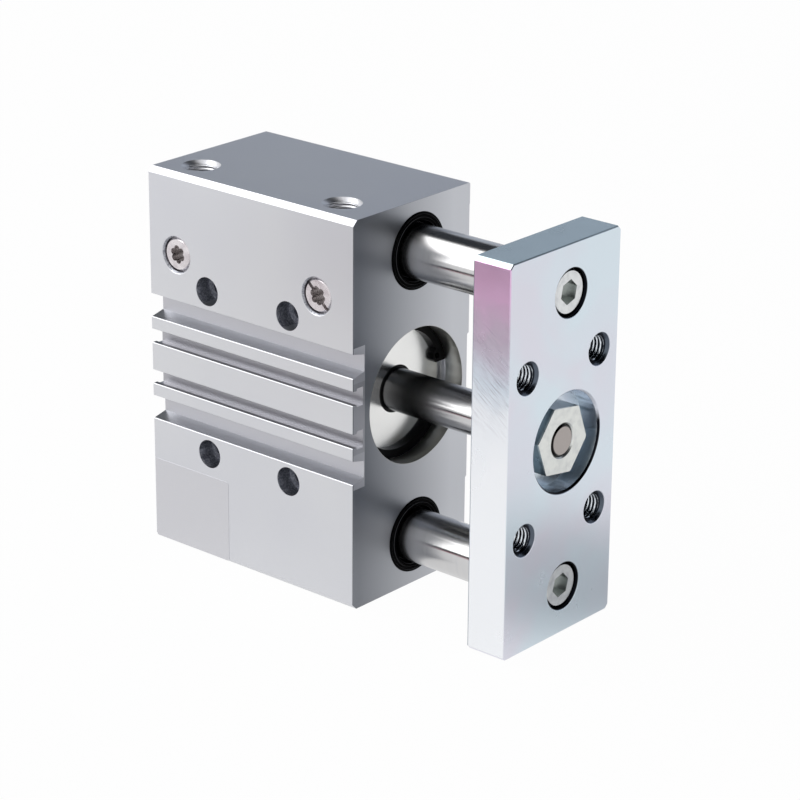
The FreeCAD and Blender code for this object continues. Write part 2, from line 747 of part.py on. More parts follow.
def make_bushing(prefix, start, z):
    """One ball bushing: a hardened sleeve and the slotted cage that carries the balls."""
    outer = "dims.guide_bore / 2 - dims.seat_gap"
    race = "layout.race_radius"
    lip = "dims.bushing_lip"
    end = f"{start} + dims.bushing_length"
    edge = "dims.bushing_wall / 2"
    cage_bore = "layout.cage_bore"
    cage_outer = f"{cage_bore} + dims.cage_wall"
    turned(prefix + "_sleeve", [
        (start, f"{outer} - {edge}"),
        (f"{start} + {edge}", outer),
        (f"{end} - {edge}", outer),
        (end, f"{outer} - {edge}"),
        (end, f"{cage_outer} + dims.seat_gap"),
        (f"{end} - {lip}", f"{cage_outer} + dims.seat_gap"),
        (f"{end} - {lip}", race),
        (f"{start} + {lip}", race),
        (f"{start} + {lip}", f"{cage_outer} + dims.seat_gap"),
        (start, f"{cage_outer} + dims.seat_gap"),
    ], z=z)

    cage = turned(prefix + "_cage", [
        (start, cage_bore),
        (start, cage_outer),
        (end, cage_outer),
        (end, cage_bore),
    ], z=z)
    slot_sketch = open_sketch(cage, prefix + "_cage_slot_sketch", "XY_Plane")
    slot_start = f"{start} + (dims.bushing_length - dims.ball_slot_length) / 2"
    draw_loop(slot_sketch, [
        (slot_start, "-dims.ball_slot_width / 2"),
        (f"{slot_start} + dims.ball_slot_length", "-dims.ball_slot_width / 2"),
        (f"{slot_start} + dims.ball_slot_length", "dims.ball_slot_width / 2"),
        (slot_start, "dims.ball_slot_width / 2"),
    ])
    slot = cage.newObject("PartDesign::Pocket", prefix + "_cage_slot")
    slot.Profile = slot_sketch
    slot.Reversed = True
    slot.setExpression("Length", "dims.guide_bore")
    ring_of(cage, prefix + "_cage_slots", slot, 5)


def make_guides():
    front_start = "layout.body_length - dims.guide_seal_depth - dims.bushing_length"
    for side, sign in (("upper", ""), ("lower", "-")):
        z = f"{sign}layout.guide_z"
        make_guide_seal(f"{side}_guide_wiper", z)
        make_bushing(f"{side}_front_bushing", front_start, z)
        make_bushing(f"{side}_rear_bushing", "layout.guide_seat_start", z)
        spacer_start = "layout.guide_seat_start + dims.bushing_length"
        spacer_outer = "dims.guide_bore / 2 - dims.seat_gap"
        turned(f"{side}_bushing_spacer", [
            (spacer_start, f"{spacer_outer} - dims.spacer_wall"),
            (spacer_start, spacer_outer),
            (f"{spacer_start} + dims.spacer_length", spacer_outer),
            (f"{spacer_start} + dims.spacer_length", f"{spacer_outer} - dims.spacer_wall"),
        ], z=z)
        make_guide_rod(f"{side}_guide_rod", z)
        make_rod_screw(f"{side}_rod_screw", z)


def make_guide_rod(label, z):
    radius = "dims.guide_dia / 2"
    start = "layout.guide_start"
    end = "layout.plate_back + dims.guide_seat_depth"
    hole = "dims.screw_dia / 2"
    hole_floor = f"{end} - dims.guide_thread_depth"
    bevel = "dims.web"
    turned(label, [
        (start, "0"),
        (start, f"{radius} - {bevel}"),
        (f"{start} + {bevel}", radius),
        (end, radius),
        (end, hole),
        (hole_floor, hole),
        (f"{hole_floor} - {hole} / 2", "0"),
    ], z=z)


def make_rod_screw(label, z):
    """A low socket-head screw that pulls the guide rod against the plate."""
    floor = "layout.head_floor"
    top = f"{floor} + dims.head_height"
    head = "dims.head_dia / 2"
    shank = "dims.screw_dia / 2 - dims.running_gap"
    tip = "layout.plate_back + dims.guide_seat_depth - dims.guide_thread_depth * 0.8"
    body = turned(label, [
        (tip, "0"),
        (tip, f"{shank} - dims.web"),
        (f"{tip} + dims.web", shank),
        (floor, shank),
        (floor, head),
        (f"{top} - dims.head_bevel", head),
        (top, f"{head} - dims.head_bevel"),
        (top, "0"),
    ], z=z)
    hex_socket(body, label, top, "dims.head_socket", "dims.head_socket_depth")
    body.Placement.Rotation = FreeCAD.Rotation(FreeCAD.Vector(1, 0, 0), SCREW_TURN[label])


SCREW_TURN = {"upper_rod_screw": -12.5, "lower_rod_screw": -16.8}
ROD_NUT_TURN = 20.7


# ---------------------------------------------------------------- piston and rod
def make_piston():
    rear = "layout.piston_rear"
    front = "layout.piston_front"
    outer = "layout.piston_radius"
    seal_root = "dims.piston_seal_root / 2"
    magnet_root = "dims.magnet_root / 2"
    stud = "dims.stud_dia / 2 + dims.running_gap"
    pocket = "dims.nut_pocket_dia / 2"
    pocket_floor = f"{rear} + dims.nut_pocket_depth"
    ring_root = "dims.stud_ring_root / 2"
    bumper_out = "dims.bumper_outer / 2 + dims.seat_gap"
    bumper_in = "dims.bumper_inner / 2 - dims.seat_gap"
    rear_seal = f"{rear} + dims.end_land"
    magnet = f"{rear_seal} + dims.piston_seal_width + dims.mid_land"
    front_seal = f"{magnet} + layout.magnet_width + dims.mid_land"
    ring_start = f"{front} - dims.web - dims.stud_ring_width"

    profile = [
        (rear, bumper_out),
        (rear, outer),
    ]
    for start, width, root in (
        (rear_seal, "dims.piston_seal_width", seal_root),
        (magnet, "layout.magnet_width", magnet_root),
        (front_seal, "dims.piston_seal_width", seal_root),
    ):
        profile += [
            (start, outer),
            (start, root),
            (f"{start} + {width}", root),
            (f"{start} + {width}", outer),
        ]
    profile += [
        (front, outer),
        (front, bumper_out),
        (f"{front} - dims.bumper_sink", bumper_out),
        (f"{front} - dims.bumper_sink", bumper_in),
        (front, bumper_in),
        (front, stud),
        (f"{ring_start} + dims.stud_ring_width", stud),
        (f"{ring_start} + dims.stud_ring_width", ring_root),
        (ring_start, ring_root),
        (ring_start, stud),
        (pocket_floor, stud),
        (pocket_floor, pocket),
        (rear, pocket),
        (rear, bumper_in),
        (f"{rear} + dims.bumper_sink", bumper_in),
        (f"{rear} + dims.bumper_sink", bumper_out),
    ]
    turned("piston", profile)

    band = f"{outer} + dims.piston_gap - dims.running_gap"
    gap = "dims.seat_gap"
    turned("magnet_ring", [
        (f"{magnet} + {gap}", f"{magnet_root} + {gap}"),
        (f"{magnet} + {gap}", "dims.magnet_outer / 2"),
        (f"{magnet} + layout.magnet_width - {gap}", "dims.magnet_outer / 2"),
        (f"{magnet} + layout.magnet_width - {gap}", f"{magnet_root} + {gap}"),
    ])
    turned("piston_wear_band", [
        (f"{magnet} + {gap}", f"dims.magnet_outer / 2 + {gap}"),
        (f"{magnet} + {gap}", band),
        (f"{magnet} + layout.magnet_width - {gap}", band),
        (f"{magnet} + layout.magnet_width - {gap}", f"dims.magnet_outer / 2 + {gap}"),
    ])
    for label, low, high, tip in (
        ("rear_piston_seal", f"{rear_seal} + dims.piston_seal_width - {gap}", f"{rear_seal} + {gap}", "+"),
        ("front_piston_seal", f"{front_seal} + {gap}", f"{front_seal} + dims.piston_seal_width - {gap}", "-"),
    ):
        turned(label, [
            (low, f"{seal_root} + {gap}"),
            (low, f"{outer} - dims.free_gap"),
            (f"{high} {tip} dims.web", band),
            (f"{high} {tip} dims.web / 2", band),
            (f"{high} {tip} dims.web / 2", f"{outer} - dims.web"),
            (f"{high} {tip} dims.web", f"{outer} - 2 * dims.web"),
            (high, f"{outer} - 3 * dims.web"),
            (high, f"{seal_root} + {gap}"),
        ])
    inner = f"{bumper_in} + 2 * {gap}"
    rim = f"{bumper_out} - 2 * {gap}"
    for label, root, face in (
        ("rear_bumper", f"{rear} + dims.bumper_sink", f"{rear} - dims.bumper_rise"),
        ("front_bumper", f"{front} - dims.bumper_sink", f"{front} + dims.bumper_rise"),
    ):
        shoulder = rear if label == "rear_bumper" else front
        turned(label, [
            (root, inner),
            (root, rim),
            (shoulder, rim),
            (face, f"{rim} - dims.web"),
            (face, f"{inner} + dims.web"),
            (shoulder, inner),
        ])
    make_sealing_ring(
        "piston_rod_o_ring",
        f"{ring_start} + dims.stud_ring_width / 2",
        f"dims.stud_dia / 2 + {gap}",
        f"{ring_root} - {gap}",
    )
    make_hex_nut("piston_nut", f"{pocket_floor} - dims.stud_nut_height",
                 "dims.stud_nut_height", "dims.stud_nut_across", "dims.stud_dia",
                 "dims.stud_nut_across / 2 - dims.free_gap", 0)


def make_piston_rod():
    """Ground rod with a stud through the piston and a threaded end through the plate."""
    rod = "dims.rod_dia / 2"
    stud = "dims.stud_dia / 2"
    thread = "dims.rod_thread_dia / 2"
    bevel = "dims.rod_end_bevel"
    stud_tip = "layout.piston_rear + dims.web / 2"
    turned("piston_rod", [
        (stud_tip, "0"),
        (stud_tip, f"{stud} - {bevel}"),
        (f"{stud_tip} + {bevel}", stud),
        ("layout.piston_front", stud),
        ("layout.piston_front", rod),
        ("layout.plate_back", rod),
        ("layout.plate_back", thread),
        (f"layout.nut_face - {bevel}", thread),
        ("layout.nut_face", f"{thread} - {bevel}"),
        ("layout.nut_face", "0"),
    ])


def make_hex_nut(label, start, height, across, thread, crown, turn):
    """A hexagon nut; its corners are turned off outside the crown radius at both faces."""
    body = new_body(label)
    bore = f"{thread} / 2 + dims.running_gap"
    hexagon_sketch = open_sketch(body, label + "_hexagon", "YZ_Plane", {"z": start})
    draw_loop(hexagon_sketch, hexagon(across))
    draw_circle(hexagon_sketch, ("0", "0"), bore)
    blank = body.newObject("PartDesign::Pad", label + "_blank")
    blank.Profile = hexagon_sketch
    blank.setExpression("Length", height)
    beyond = f"{across} / sqrt(3) + dims.web"
    slope = f"({beyond} - ({crown})) / sqrt(3)"
    mouth = f"{bore} + dims.nut_mouth_bevel"
    for end, face, inward in (("front", f"{start} + {height}", "-"), ("rear", start, "+")):
        corner_sketch = open_sketch(body, f"{label}_{end}_corner_profile", "XY_Plane")
        draw_loop(corner_sketch, [
            (face, crown),
            (face, beyond),
            (f"{face} {inward} {slope}", beyond),
        ])
        spin(body, "Groove", f"{label}_{end}_corners", corner_sketch)
        mouth_sketch = open_sketch(body, f"{label}_{end}_mouth_profile", "XY_Plane")
        draw_loop(mouth_sketch, [
            (face, f"{bore} - dims.web"),
            (face, mouth),
            (f"{face} {inward} dims.nut_mouth_bevel", bore),
            (f"{face} {inward} dims.nut_mouth_bevel", f"{bore} - dims.web"),
        ])
        spin(body, "Groove", f"{label}_{end}_mouth", mouth_sketch)
    body.Placement.Rotation = FreeCAD.Rotation(FreeCAD.Vector(1, 0, 0), turn)


# ---------------------------------------------------------------- yoke plate and plugs
def make_yoke_plate():
    body = new_body("yoke_plate")
    width = "dims.plate_width / 2"
    height = "(dims.body_height / 2 - dims.plate_inset)"
    bevel = "dims.plate_bevel"
    corners = []
    for y_sign, z_sign in (("-", "-"), ("", "-"), ("", ""), ("-", "")):
        flat_side = (f"{y_sign}({width})", f"{z_sign}({height} - {bevel})")
        flat_end = (f"{y_sign}({width} - {bevel})", f"{z_sign}({height})")
        pair = [flat_side, flat_end]
        corners += pair if y_sign == z_sign else pair[::-1]
    outline = open_sketch(body, "plate_outline", "YZ_Plane", {"z": "layout.plate_back"})
    draw_loop(outline, corners)
    slab = body.newObject("PartDesign::Pad", "plate_slab")
    slab.Profile = outline
    slab.setExpression("Length", "dims.plate_thickness")
    doc.recompute()
    front_face = max(range(len(slab.Shape.Faces)), key=lambda i: slab.Shape.Faces[i].CenterOfMass.x)
    break_edges = body.newObject("PartDesign::Chamfer", "plate_face_bevel")
    break_edges.Base = (slab, [f"Face{front_face + 1}"])
    break_edges.setExpression("Size", "dims.plate_face_bevel")

    back = "layout.plate_back"
    front = "layout.plate_front"
    seat = "dims.guide_dia / 2 + dims.seat_gap"
    shank = "dims.screw_dia / 2 + dims.screw_gap"
    sink = "dims.head_sink_dia / 2"
    screw_sketch = open_sketch(
        body, "screw_hole_profile", "XY_Plane", {"y": "dims.axis_setback", "z": "layout.guide_z"})
    draw_loop(screw_sketch, [
        (back, "0"),
        (back, seat),
        (f"{back} + dims.guide_seat_depth", seat),
        (f"{back} + dims.guide_seat_depth", shank),
        ("layout.head_floor", shank),
        ("layout.head_floor", sink),
        (f"{front} - dims.head_sink_bevel", sink),
        (front, f"{sink} + dims.head_sink_bevel"),
        (front, "0"),
    ])
    screw_hole = spin(body, "Groove", "screw_hole", screw_sketch)
    mirror(body, "screw_holes", [screw_hole], "XY_Plane")

    nut_sink = "dims.nut_sink_dia / 2"
    stud = "dims.rod_thread_dia / 2 + dims.seat_gap"
    nut_sketch = open_sketch(body, "nut_recess_profile", "XY_Plane", {"y": "dims.axis_setback"})
    draw_loop(nut_sketch, [
        (back, "0"),
        (back, stud),
        ("layout.nut_floor", stud),
        ("layout.nut_floor", nut_sink),
        (f"{front} - dims.nut_sink_bevel", nut_sink),
        (front, f"{nut_sink} + dims.nut_sink_bevel"),
        (front, "0"),
    ])
    spin(body, "Groove", "nut_recess", nut_sketch)

    thread = "dims.plate_thread_bore / 2"
    mouth = f"{thread} + dims.plate_thread_bevel"
    thread_sketch = open_sketch(body, "plate_thread_profile", "XY_Plane", {
        "y": "dims.plate_thread_width / 2", "z": "dims.plate_thread_height / 2"})
    draw_loop(thread_sketch, [
        (back, "0"),
        (back, mouth),
        (f"{back} + dims.plate_thread_bevel", thread),
        (f"{front} - dims.plate_thread_bevel", thread),
        (front, mouth),
        (front, "0"),
    ])
    plate_thread = spin(body, "Groove", "plate_thread", thread_sketch)
    sides = body.newObject("PartDesign::MultiTransform", "plate_threads")
    sides.Originals = [plate_thread]
    across = body.newObject("PartDesign::Mirrored", "plate_threads_across")
    across.MirrorPlane = (origin_plane(body, "XZ_Plane"), [""])
    along = body.newObject("PartDesign::Mirrored", "plate_threads_along")
    along.MirrorPlane = (origin_plane(body, "XY_Plane"), [""])
    sides.Transformations = [across, along]
    body.Tip = sides
    place(body, y="-dims.axis_setback")


def make_port_plug(label, x, slotted):
    """A threaded plug with a star socket; its own X axis points out of the side port."""
    radius = "dims.side_port_bore / 2 - dims.seat_gap"
    rim = f"{radius} - dims.free_gap"
    bevel = "dims.plug_bevel"
    body = new_body(label)
    sketch = open_sketch(body, label + "_profile", "XY_Plane")
    draw_loop(sketch, [
        ("-dims.plug_length", "0"),
        ("-dims.plug_length", f"{radius} - {bevel}"),
        (f"-dims.plug_length + {bevel}", radius),
        (f"-({bevel}) - dims.web", radius),
        (f"-({bevel}) - dims.web", rim),
        (f"-({bevel})", rim),
        ("0", f"{rim} - {bevel}"),
        ("0", "0"),
    ])
    spin(body, "Revolution", label + "_turning", sketch)
    star_socket(body, label, "0", "dims.plug_socket", "dims.plug_lobe", "dims.plug_socket_depth")
    if slotted:
        slot_sketch = open_sketch(body, label + "_slot_sketch", "YZ_Plane")
        half = "dims.plug_slot / 2"
        reach = "dims.side_port_bore"
        draw_loop(slot_sketch, [
            (f"-{reach}", f"-({half})"),
            (reach, f"-({half})"),
            (reach, half),
            (f"-{reach}", half),
        ])
        slot = body.newObject("PartDesign::Pocket", label + "_slot")
        slot.Profile = slot_sketch
        slot.setExpression("Length", "dims.plug_slot_depth")
    outward = FreeCAD.Rotation(FreeCAD.Vector(0, 0, 1), -90)
    turn = FreeCAD.Rotation(FreeCAD.Vector(1, 0, 0), PLUG_TURN[label])
    body.Placement.Rotation = outward.multiply(turn)
    place(body, x=x, y="layout.front_y + dims.plug_sink", z="layout.side_port_z")


PLUG_TURN = {"rear_port_plug": 10.0, "front_port_plug": -44.0}


# ---------------------------------------------------------------- the whole cylinder
make_housing()
make_front_cap()
make_rear_cap()
make_cap_rings()
make_retaining_ring("front_retaining_ring", "layout.front_cap_face")
make_retaining_ring("rear_retaining_ring", "dims.rear_recess")
make_guides()
make_piston()
make_piston_rod()
make_yoke_plate()
make_hex_nut("rod_nut", "layout.nut_floor", "dims.rod_nut_height",
             "dims.rod_nut_across", "dims.rod_thread_dia",
             "dims.rod_nut_across / sqrt(3) - dims.nut_corner_break", ROD_NUT_TURN)
make_port_plug("rear_port_plug", "dims.port_start", False)
make_port_plug("front_port_plug", "dims.port_start + layout.port_pitch", True)
doc.recompute()


# ---------------------------------------------------------------- check and write
failed = [item.Name for item in doc.Objects if {"Invalid", "Error"} & set(item.State)]
if failed:
    raise RuntimeError("features that failed: " + ", ".join(failed))

pieces = [item for item in doc.Objects if item.TypeId in ("PartDesign::Body", "Part::Torus")]
os.makedirs("parts", exist_ok=True)
for piece in pieces:
    shape = piece.Shape
    if shape.isNull() or not shape.isValid():
        raise RuntimeError("no valid shape for " + piece.Label)
    shape.exportStep(f"parts/{piece.Label}.step")
    print(f"{piece.Label:26s} {len(shape.Solids)} solid  {shape.Volume:10.1f} mm3")
print(len(pieces), "sub-parts")
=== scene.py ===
# %% [markdown]
# A guided air cylinder, dressed for a still picture.
#
# The solids come from CAD: an extruded aluminium body, a zinc-plated yoke plate and three ground
# steel rods between them. They already have their true shapes, so most of the work here is
# finishes. The few things that are easier to model in Blender than in CAD, the screw threads and a
# bare sticker, are built below as meshes of their own.

# %% Load the frame
import json
import math

import bmesh
import bpy
from mathutils import Matrix, Vector


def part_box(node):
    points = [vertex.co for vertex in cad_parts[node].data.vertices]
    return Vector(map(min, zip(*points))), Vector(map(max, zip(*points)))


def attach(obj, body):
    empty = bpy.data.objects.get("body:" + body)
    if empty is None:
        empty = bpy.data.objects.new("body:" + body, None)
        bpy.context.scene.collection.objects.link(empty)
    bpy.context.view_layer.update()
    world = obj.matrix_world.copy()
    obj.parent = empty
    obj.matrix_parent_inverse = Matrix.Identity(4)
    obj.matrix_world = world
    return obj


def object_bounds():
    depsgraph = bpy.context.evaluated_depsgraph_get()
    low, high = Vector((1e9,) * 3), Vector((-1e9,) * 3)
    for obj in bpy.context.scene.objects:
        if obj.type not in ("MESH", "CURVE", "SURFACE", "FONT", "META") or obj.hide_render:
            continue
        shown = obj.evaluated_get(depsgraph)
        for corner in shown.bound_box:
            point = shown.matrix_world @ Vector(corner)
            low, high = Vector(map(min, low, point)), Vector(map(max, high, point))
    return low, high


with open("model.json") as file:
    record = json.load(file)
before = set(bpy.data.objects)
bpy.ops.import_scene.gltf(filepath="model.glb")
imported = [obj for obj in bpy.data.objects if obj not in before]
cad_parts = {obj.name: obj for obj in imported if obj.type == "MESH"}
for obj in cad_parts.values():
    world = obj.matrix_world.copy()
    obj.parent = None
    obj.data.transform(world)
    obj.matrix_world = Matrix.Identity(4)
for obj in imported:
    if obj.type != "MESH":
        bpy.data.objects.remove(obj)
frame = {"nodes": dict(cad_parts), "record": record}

cad_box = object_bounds()
nodes = frame["nodes"]
mm = 0.001
print("CAD nodes:", len(nodes))
print("CAD box, mm:", [[round(value / mm, 1) for value in corner] for corner in cad_box])

# %% [markdown]
# Sizes are read from the CAD nodes and from the record's mounts, so that few are typed in again.
# The boxes of the body and the plate give the faces that finishes and small pieces are placed by,
# and a mount gives the middle of a hole or of a pattern of holes.

# %% Faces and hole centres
body_low, body_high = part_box("housing")
plate_low, plate_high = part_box("yoke_plate")
slotted_face_y = body_low.y
main_axis = [Vector((0.0, 0.0, 0.0))]


def mount(name):
    """A mount of the record by name."""
    return next(item for item in frame["record"]["mounts"] if item["name"] == name)


def hole_centres(name, first, second):
    """Centres of a bolt pattern's holes: its spacings run along the two axes named."""
    pattern = mount(name)
    steps = (pattern["dims"]["spacing_x_mm"] / 2 * mm, pattern["dims"]["spacing_y_mm"] / 2 * mm)
    centres = []
    for i in (-1, 1):
        for j in (-1, 1):
            centre = list(pattern["pos_m"])
            centre["XYZ".index(first)] += i * steps[0]
            centre["XYZ".index(second)] += j * steps[1]
            centres.append(Vector(centre))
    return centres


def middles(*names):
    """The middle of each CAD node's box."""
    return [(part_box(name)[0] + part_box(name)[1]) / 2 for name in names]


print("slotted face at y =", round(slotted_face_y / mm, 2), "mm")
print("plate from x =", round(plate_low.x / mm, 2), "to", round(plate_high.x / mm, 2), "mm")


# %% [markdown]
# Two helpers carry every material. `linear` turns an sRGB hex value, which is how people write
# colours, into the linear numbers that a shader wants. `add` makes one node, sets its properties
# and fills its inputs: a value is stored, a hex colour is made linear, and a socket is linked. A
# node in place of a socket stands for its own first output in use.

# %% Colour and material helpers
def linear(code):
    """The linear RGBA of an sRGB hex colour."""
    channels = [int(code[i:i + 2], 16) / 255 for i in (0, 2, 4)]
    return [c / 12.92 if c <= 0.04045 else ((c + 0.055) / 1.055) ** 2.4 for c in channels] + [1.0]


def add(tree, kind, inputs=None, stops=(), **settings):
    """One shader node: settings are its properties, inputs are values, sockets or nodes to link.

    Stops are the (position, hex colour) pairs of a colour ramp, in order.
    """
    node = tree.nodes.new("ShaderNode" + kind)
    for name, value in settings.items():
        setattr(node, name, value)
    for name, value in (inputs or {}).items():
        if isinstance(value, bpy.types.Node):
            value = next(output for output in value.outputs if output.enabled)
        if isinstance(value, bpy.types.NodeSocket):
            tree.links.new(value, node.inputs[name])
        else:
            node.inputs[name].default_value = linear(value) if isinstance(value, str) else value
    for index, (position, code) in enumerate(stops):
        points = node.color_ramp.elements
        point = points[index] if index < 2 else points.new(position)
        point.position = position
        point.color = linear(code)
    return node


def new_material(name):
    """An empty node material: its tree, its output node and the object's own coordinates."""
    material = bpy.data.materials.new(name)
    material.use_nodes = True
    tree = material.node_tree
    tree.nodes.clear()
    output = tree.nodes.new("ShaderNodeOutputMaterial")
    place = add(tree, "TexCoord").outputs["Object"]
    return material, tree, output, place


def per_mm(size):
    """Texture scale that makes one feature about this many millimetres, in metre coordinates."""
    return 1000 / size


def dress(material, *names):
    """Give CAD nodes this material, in every slot they have."""
    for name in names:
        for index in range(len(nodes[name].data.materials)):
            nodes[name].data.materials[index] = material
    print(material.name, "->", len(names), "nodes")


print("linear('808080') =", [round(value, 3) for value in linear("808080")[:3]])


# %% [markdown]
# Some finishes change by place on the piece, so there must be a way to say where. A share is 1
# inside a region and 0 outside it. `from_axes` gives the distance to the nearest hole of a pattern:
# the pattern is alike on both sides of its middle, so the coordinates are folded there and one axis
# is enough.

# %% Helpers for places
def all_of(tree, *shares):
    """Shares from 0 to 1 multiplied together: 1 only where every one of them is 1."""
    total = shares[0]
    for share in shares[1:]:
        total = add(tree, "Math", {0: total, 1: share}, operation="MULTIPLY")
    return total


def between(tree, value, low, high):
    """1 where the value lies between two limits, and 0 elsewhere."""
    return all_of(tree, add(tree, "Math", {0: value, 1: low}, operation="GREATER_THAN"),
                  add(tree, "Math", {0: value, 1: high}, operation="LESS_THAN"))


def from_axes(tree, place, letter, places):
    """Distance to the nearest axis of a pattern whose first and last places are opposite."""
    centre = (places[0] + places[-1]) / 2
    reach = [abs(value) for value in places[-1] - centre]
    flat = [0.0 if name == letter else 1.0 for name in "XYZ"]
    offset = add(tree, "VectorMath", {0: place, 1: centre}, operation="SUBTRACT")
    folded = add(tree, "VectorMath", {0: offset}, operation="ABSOLUTE")
    away = add(tree, "VectorMath", {0: folded, 1: reach}, operation="SUBTRACT")
    across = add(tree, "VectorMath", {0: away, 1: flat}, operation="MULTIPLY")
    return add(tree, "VectorMath", {0: across}, operation="LENGTH")


def within(tree, place, letter, places, radius):
    """1 within this radius of any axis of the pattern, and 0 outside it."""
    return add(tree, "Math", {0: from_axes(tree, place, letter, places), 1: radius},
               operation="LESS_THAN")


print("middle of the upper screw, mm:", [round(v / mm, 1) for v in middles("upper_rod_screw")[0]])


# %% [markdown]
# ## Broken edges
#
# No machined edge is sharp: each is broken by a file or a tumbling barrel, and the thin line of
# light along it is what makes a metal block look real. CAD leaves these edges sharp, so a bevel
# modifier rounds them by 0.15 mm. The imported mesh keeps its faces apart, so a weld comes first.

# %% Bevel the big pieces' edges
def break_edges(name, width):
    """Weld a CAD node's faces together and round its sharp edges."""
    weld = nodes[name].modifiers.new("weld", "WELD")
    weld.merge_threshold = 0.001 * mm
    bevel = nodes[name].modifiers.new("broken_edges", "BEVEL")
    bevel.width = width
    bevel.segments = 2
    bevel.limit_method = "ANGLE"
    bevel.angle_limit = math.radians(32)
    bevel.harden_normals = True
    bevel.use_clamp_overlap = True
    print("edges broken on", name)


for name in ("housing", "yoke_plate"):
    break_edges(name, 0.15 * mm)

# %% [markdown]
# ## Clear anodised aluminium: the body
#
# The body is an extrusion that was etched matt and anodised clear. Etching leaves a fine, even
# grain that spreads every reflection, so the metal looks like grey silk. The long faces keep very
# faint die lines along the extrusion; they only change the roughness, since a wiper or a thumb
# would hardly feel them. A metal's reflection is its colour, so the base colour is the light grey
# of aluminium, with a slow drift towards blue where the oxide is a little thicker.

# %% Clear anodised aluminium
anodised, tree, output, place = new_material("clear_anodised_aluminium")
drift = add(tree, "TexNoise", {"Vector": place, "Scale": per_mm(70), "Detail": 2.0})
tone = add(tree, "ValToRGB", {"Fac": drift}, stops=((0.35, "D6D7DC"), (0.65, "DBDCDF")))
# Die lines are about 0.4 mm apart and run on for some 200 mm along X.
along = add(tree, "Mapping", {"Vector": place, "Scale": (per_mm(200), per_mm(0.4), per_mm(0.4))})
die_lines = add(tree, "TexNoise", {"Vector": along, "Scale": 1.0, "Detail": 2.0})
rough = add(tree, "MapRange", {"Value": die_lines, "To Min": 0.33, "To Max": 0.39})
# Real etch grain is near 0.05 mm; it is drawn at 0.25 mm so that it shows at all.
grain = add(tree, "TexNoise", {"Vector": place, "Scale": per_mm(0.25), "Detail": 2.0})
etched = add(tree, "Bump", {"Height": grain, "Strength": 0.05, "Distance": 0.02 * mm})
print("anodised finish begun:", len(tree.nodes), "nodes")

# %% [markdown]
# The seats for screws and plugs get painted shade, the darkness of a narrow recess, by place: near
# a hole's axis, and deeper than the face. The end that looks at the plate was milled, and it gets
# painted shade, darker towards the slotted side, where the plate and the rods shade it. The
# cylinder bore was honed after anodising, so it is bare, bright and a little warmer.

# %% Painted shade in seats and on the milled end; honed bore
seat_radius, plug_seat_radius, honed_radius = 6.2 * mm, 7.2 * mm, 25.9 * mm
seat_floor_y = slotted_face_y + 9 * mm
spot = add(tree, "SeparateXYZ", {"Vector": place})
x, y, z = (spot.outputs[letter] for letter in "XYZ")
in_seat = within(tree, place, "Y", hole_centres("front_screw_seats", "X", "Z"), seat_radius)
in_plug_seat = within(tree, place, "Y", middles("rear_port_plug", "front_port_plug"),
                      plug_seat_radius)
in_hole = add(tree, "Math", {0: in_seat, 1: in_plug_seat}, operation="MAXIMUM")
below_face = add(tree, "MapRange", {"Value": y, "From Min": slotted_face_y + 0.03 * mm,
                                    "From Max": slotted_face_y + 0.3 * mm})
above_floor = add(tree, "Math", {0: y, 1: seat_floor_y}, operation="LESS_THAN")
# The painted shade is mottled about 0.7 mm apart, like the marks of a flat-bottomed cutter.
seat_mottle = add(tree, "TexNoise", {"Vector": place, "Scale": per_mm(0.7), "Detail": 2.0})
seat_shade = add(tree, "ValToRGB", {"Fac": seat_mottle}, stops=((0.40, "80828A"), (0.68, "B6B8BE")))
# Painted shade on the seats' walls, from just below the face down to the seat floor.
shaded_seat = all_of(tree, in_hole, below_face, above_floor)
tone = add(tree, "Mix", {0: shaded_seat, 6: tone, 7: seat_shade}, data_type="RGBA")

# Painted shade on the end face: darker towards the slotted side.
at_end = add(tree, "MapRange", {"Value": x, "From Min": body_high.x - 0.3 * mm,
                                "From Max": body_high.x - 0.1 * mm})
across = add(tree, "MapRange", {"Value": y, "From Min": slotted_face_y, "From Max": body_high.y})
end_shade = add(tree, "ValToRGB", {"Fac": across}, stops=((0.05, "82858B"), (0.85, "CED0D5")))
tone = add(tree, "Mix", {0: at_end, 6: tone, 7: end_shade}, data_type="RGBA")

honed = within(tree, place, "X", main_axis, honed_radius)
tone = add(tree, "Mix", {0: honed, 6: tone, 7: "BEBEBA"}, data_type="RGBA")
print("seats darkened to", round((seat_floor_y - slotted_face_y) / mm, 1), "mm deep")

# %% [markdown]
# The walls of the long grooves get painted shade, a little darker than the faces. The two switch
# slots in the middle get more, and most on the ledge inside each mouth, in the shadow of the lips.
# A wall that faces up is told from the back wall by its normal.

# %% Painted shade in grooves and slots
slots_end_z, grooves_end_z = 13.6 * mm, 27 * mm
mouth_end_y, groove_floor_y = slotted_face_y + 1.9 * mm, slotted_face_y + 6.3 * mm
off_middle = add(tree, "Math", {0: z}, operation="ABSOLUTE")
in_slot = add(tree, "Math", {0: off_middle, 1: slots_end_z}, operation="LESS_THAN")
in_band = add(tree, "Math", {0: off_middle, 1: grooves_end_z}, operation="LESS_THAN")
in_mouth = add(tree, "Math", {0: y, 1: mouth_end_y}, operation="LESS_THAN")
in_groove = all_of(tree, between(tree, y, slotted_face_y + 0.3 * mm, groove_floor_y), in_band)
normal = add(tree, "SeparateXYZ", {"Vector": add(tree, "TexCoord").outputs["Normal"]})
faces_up = add(tree, "MapRange", {"Value": normal.outputs["Z"], "From Min": 0.1,
                                  "From Max": 0.6})
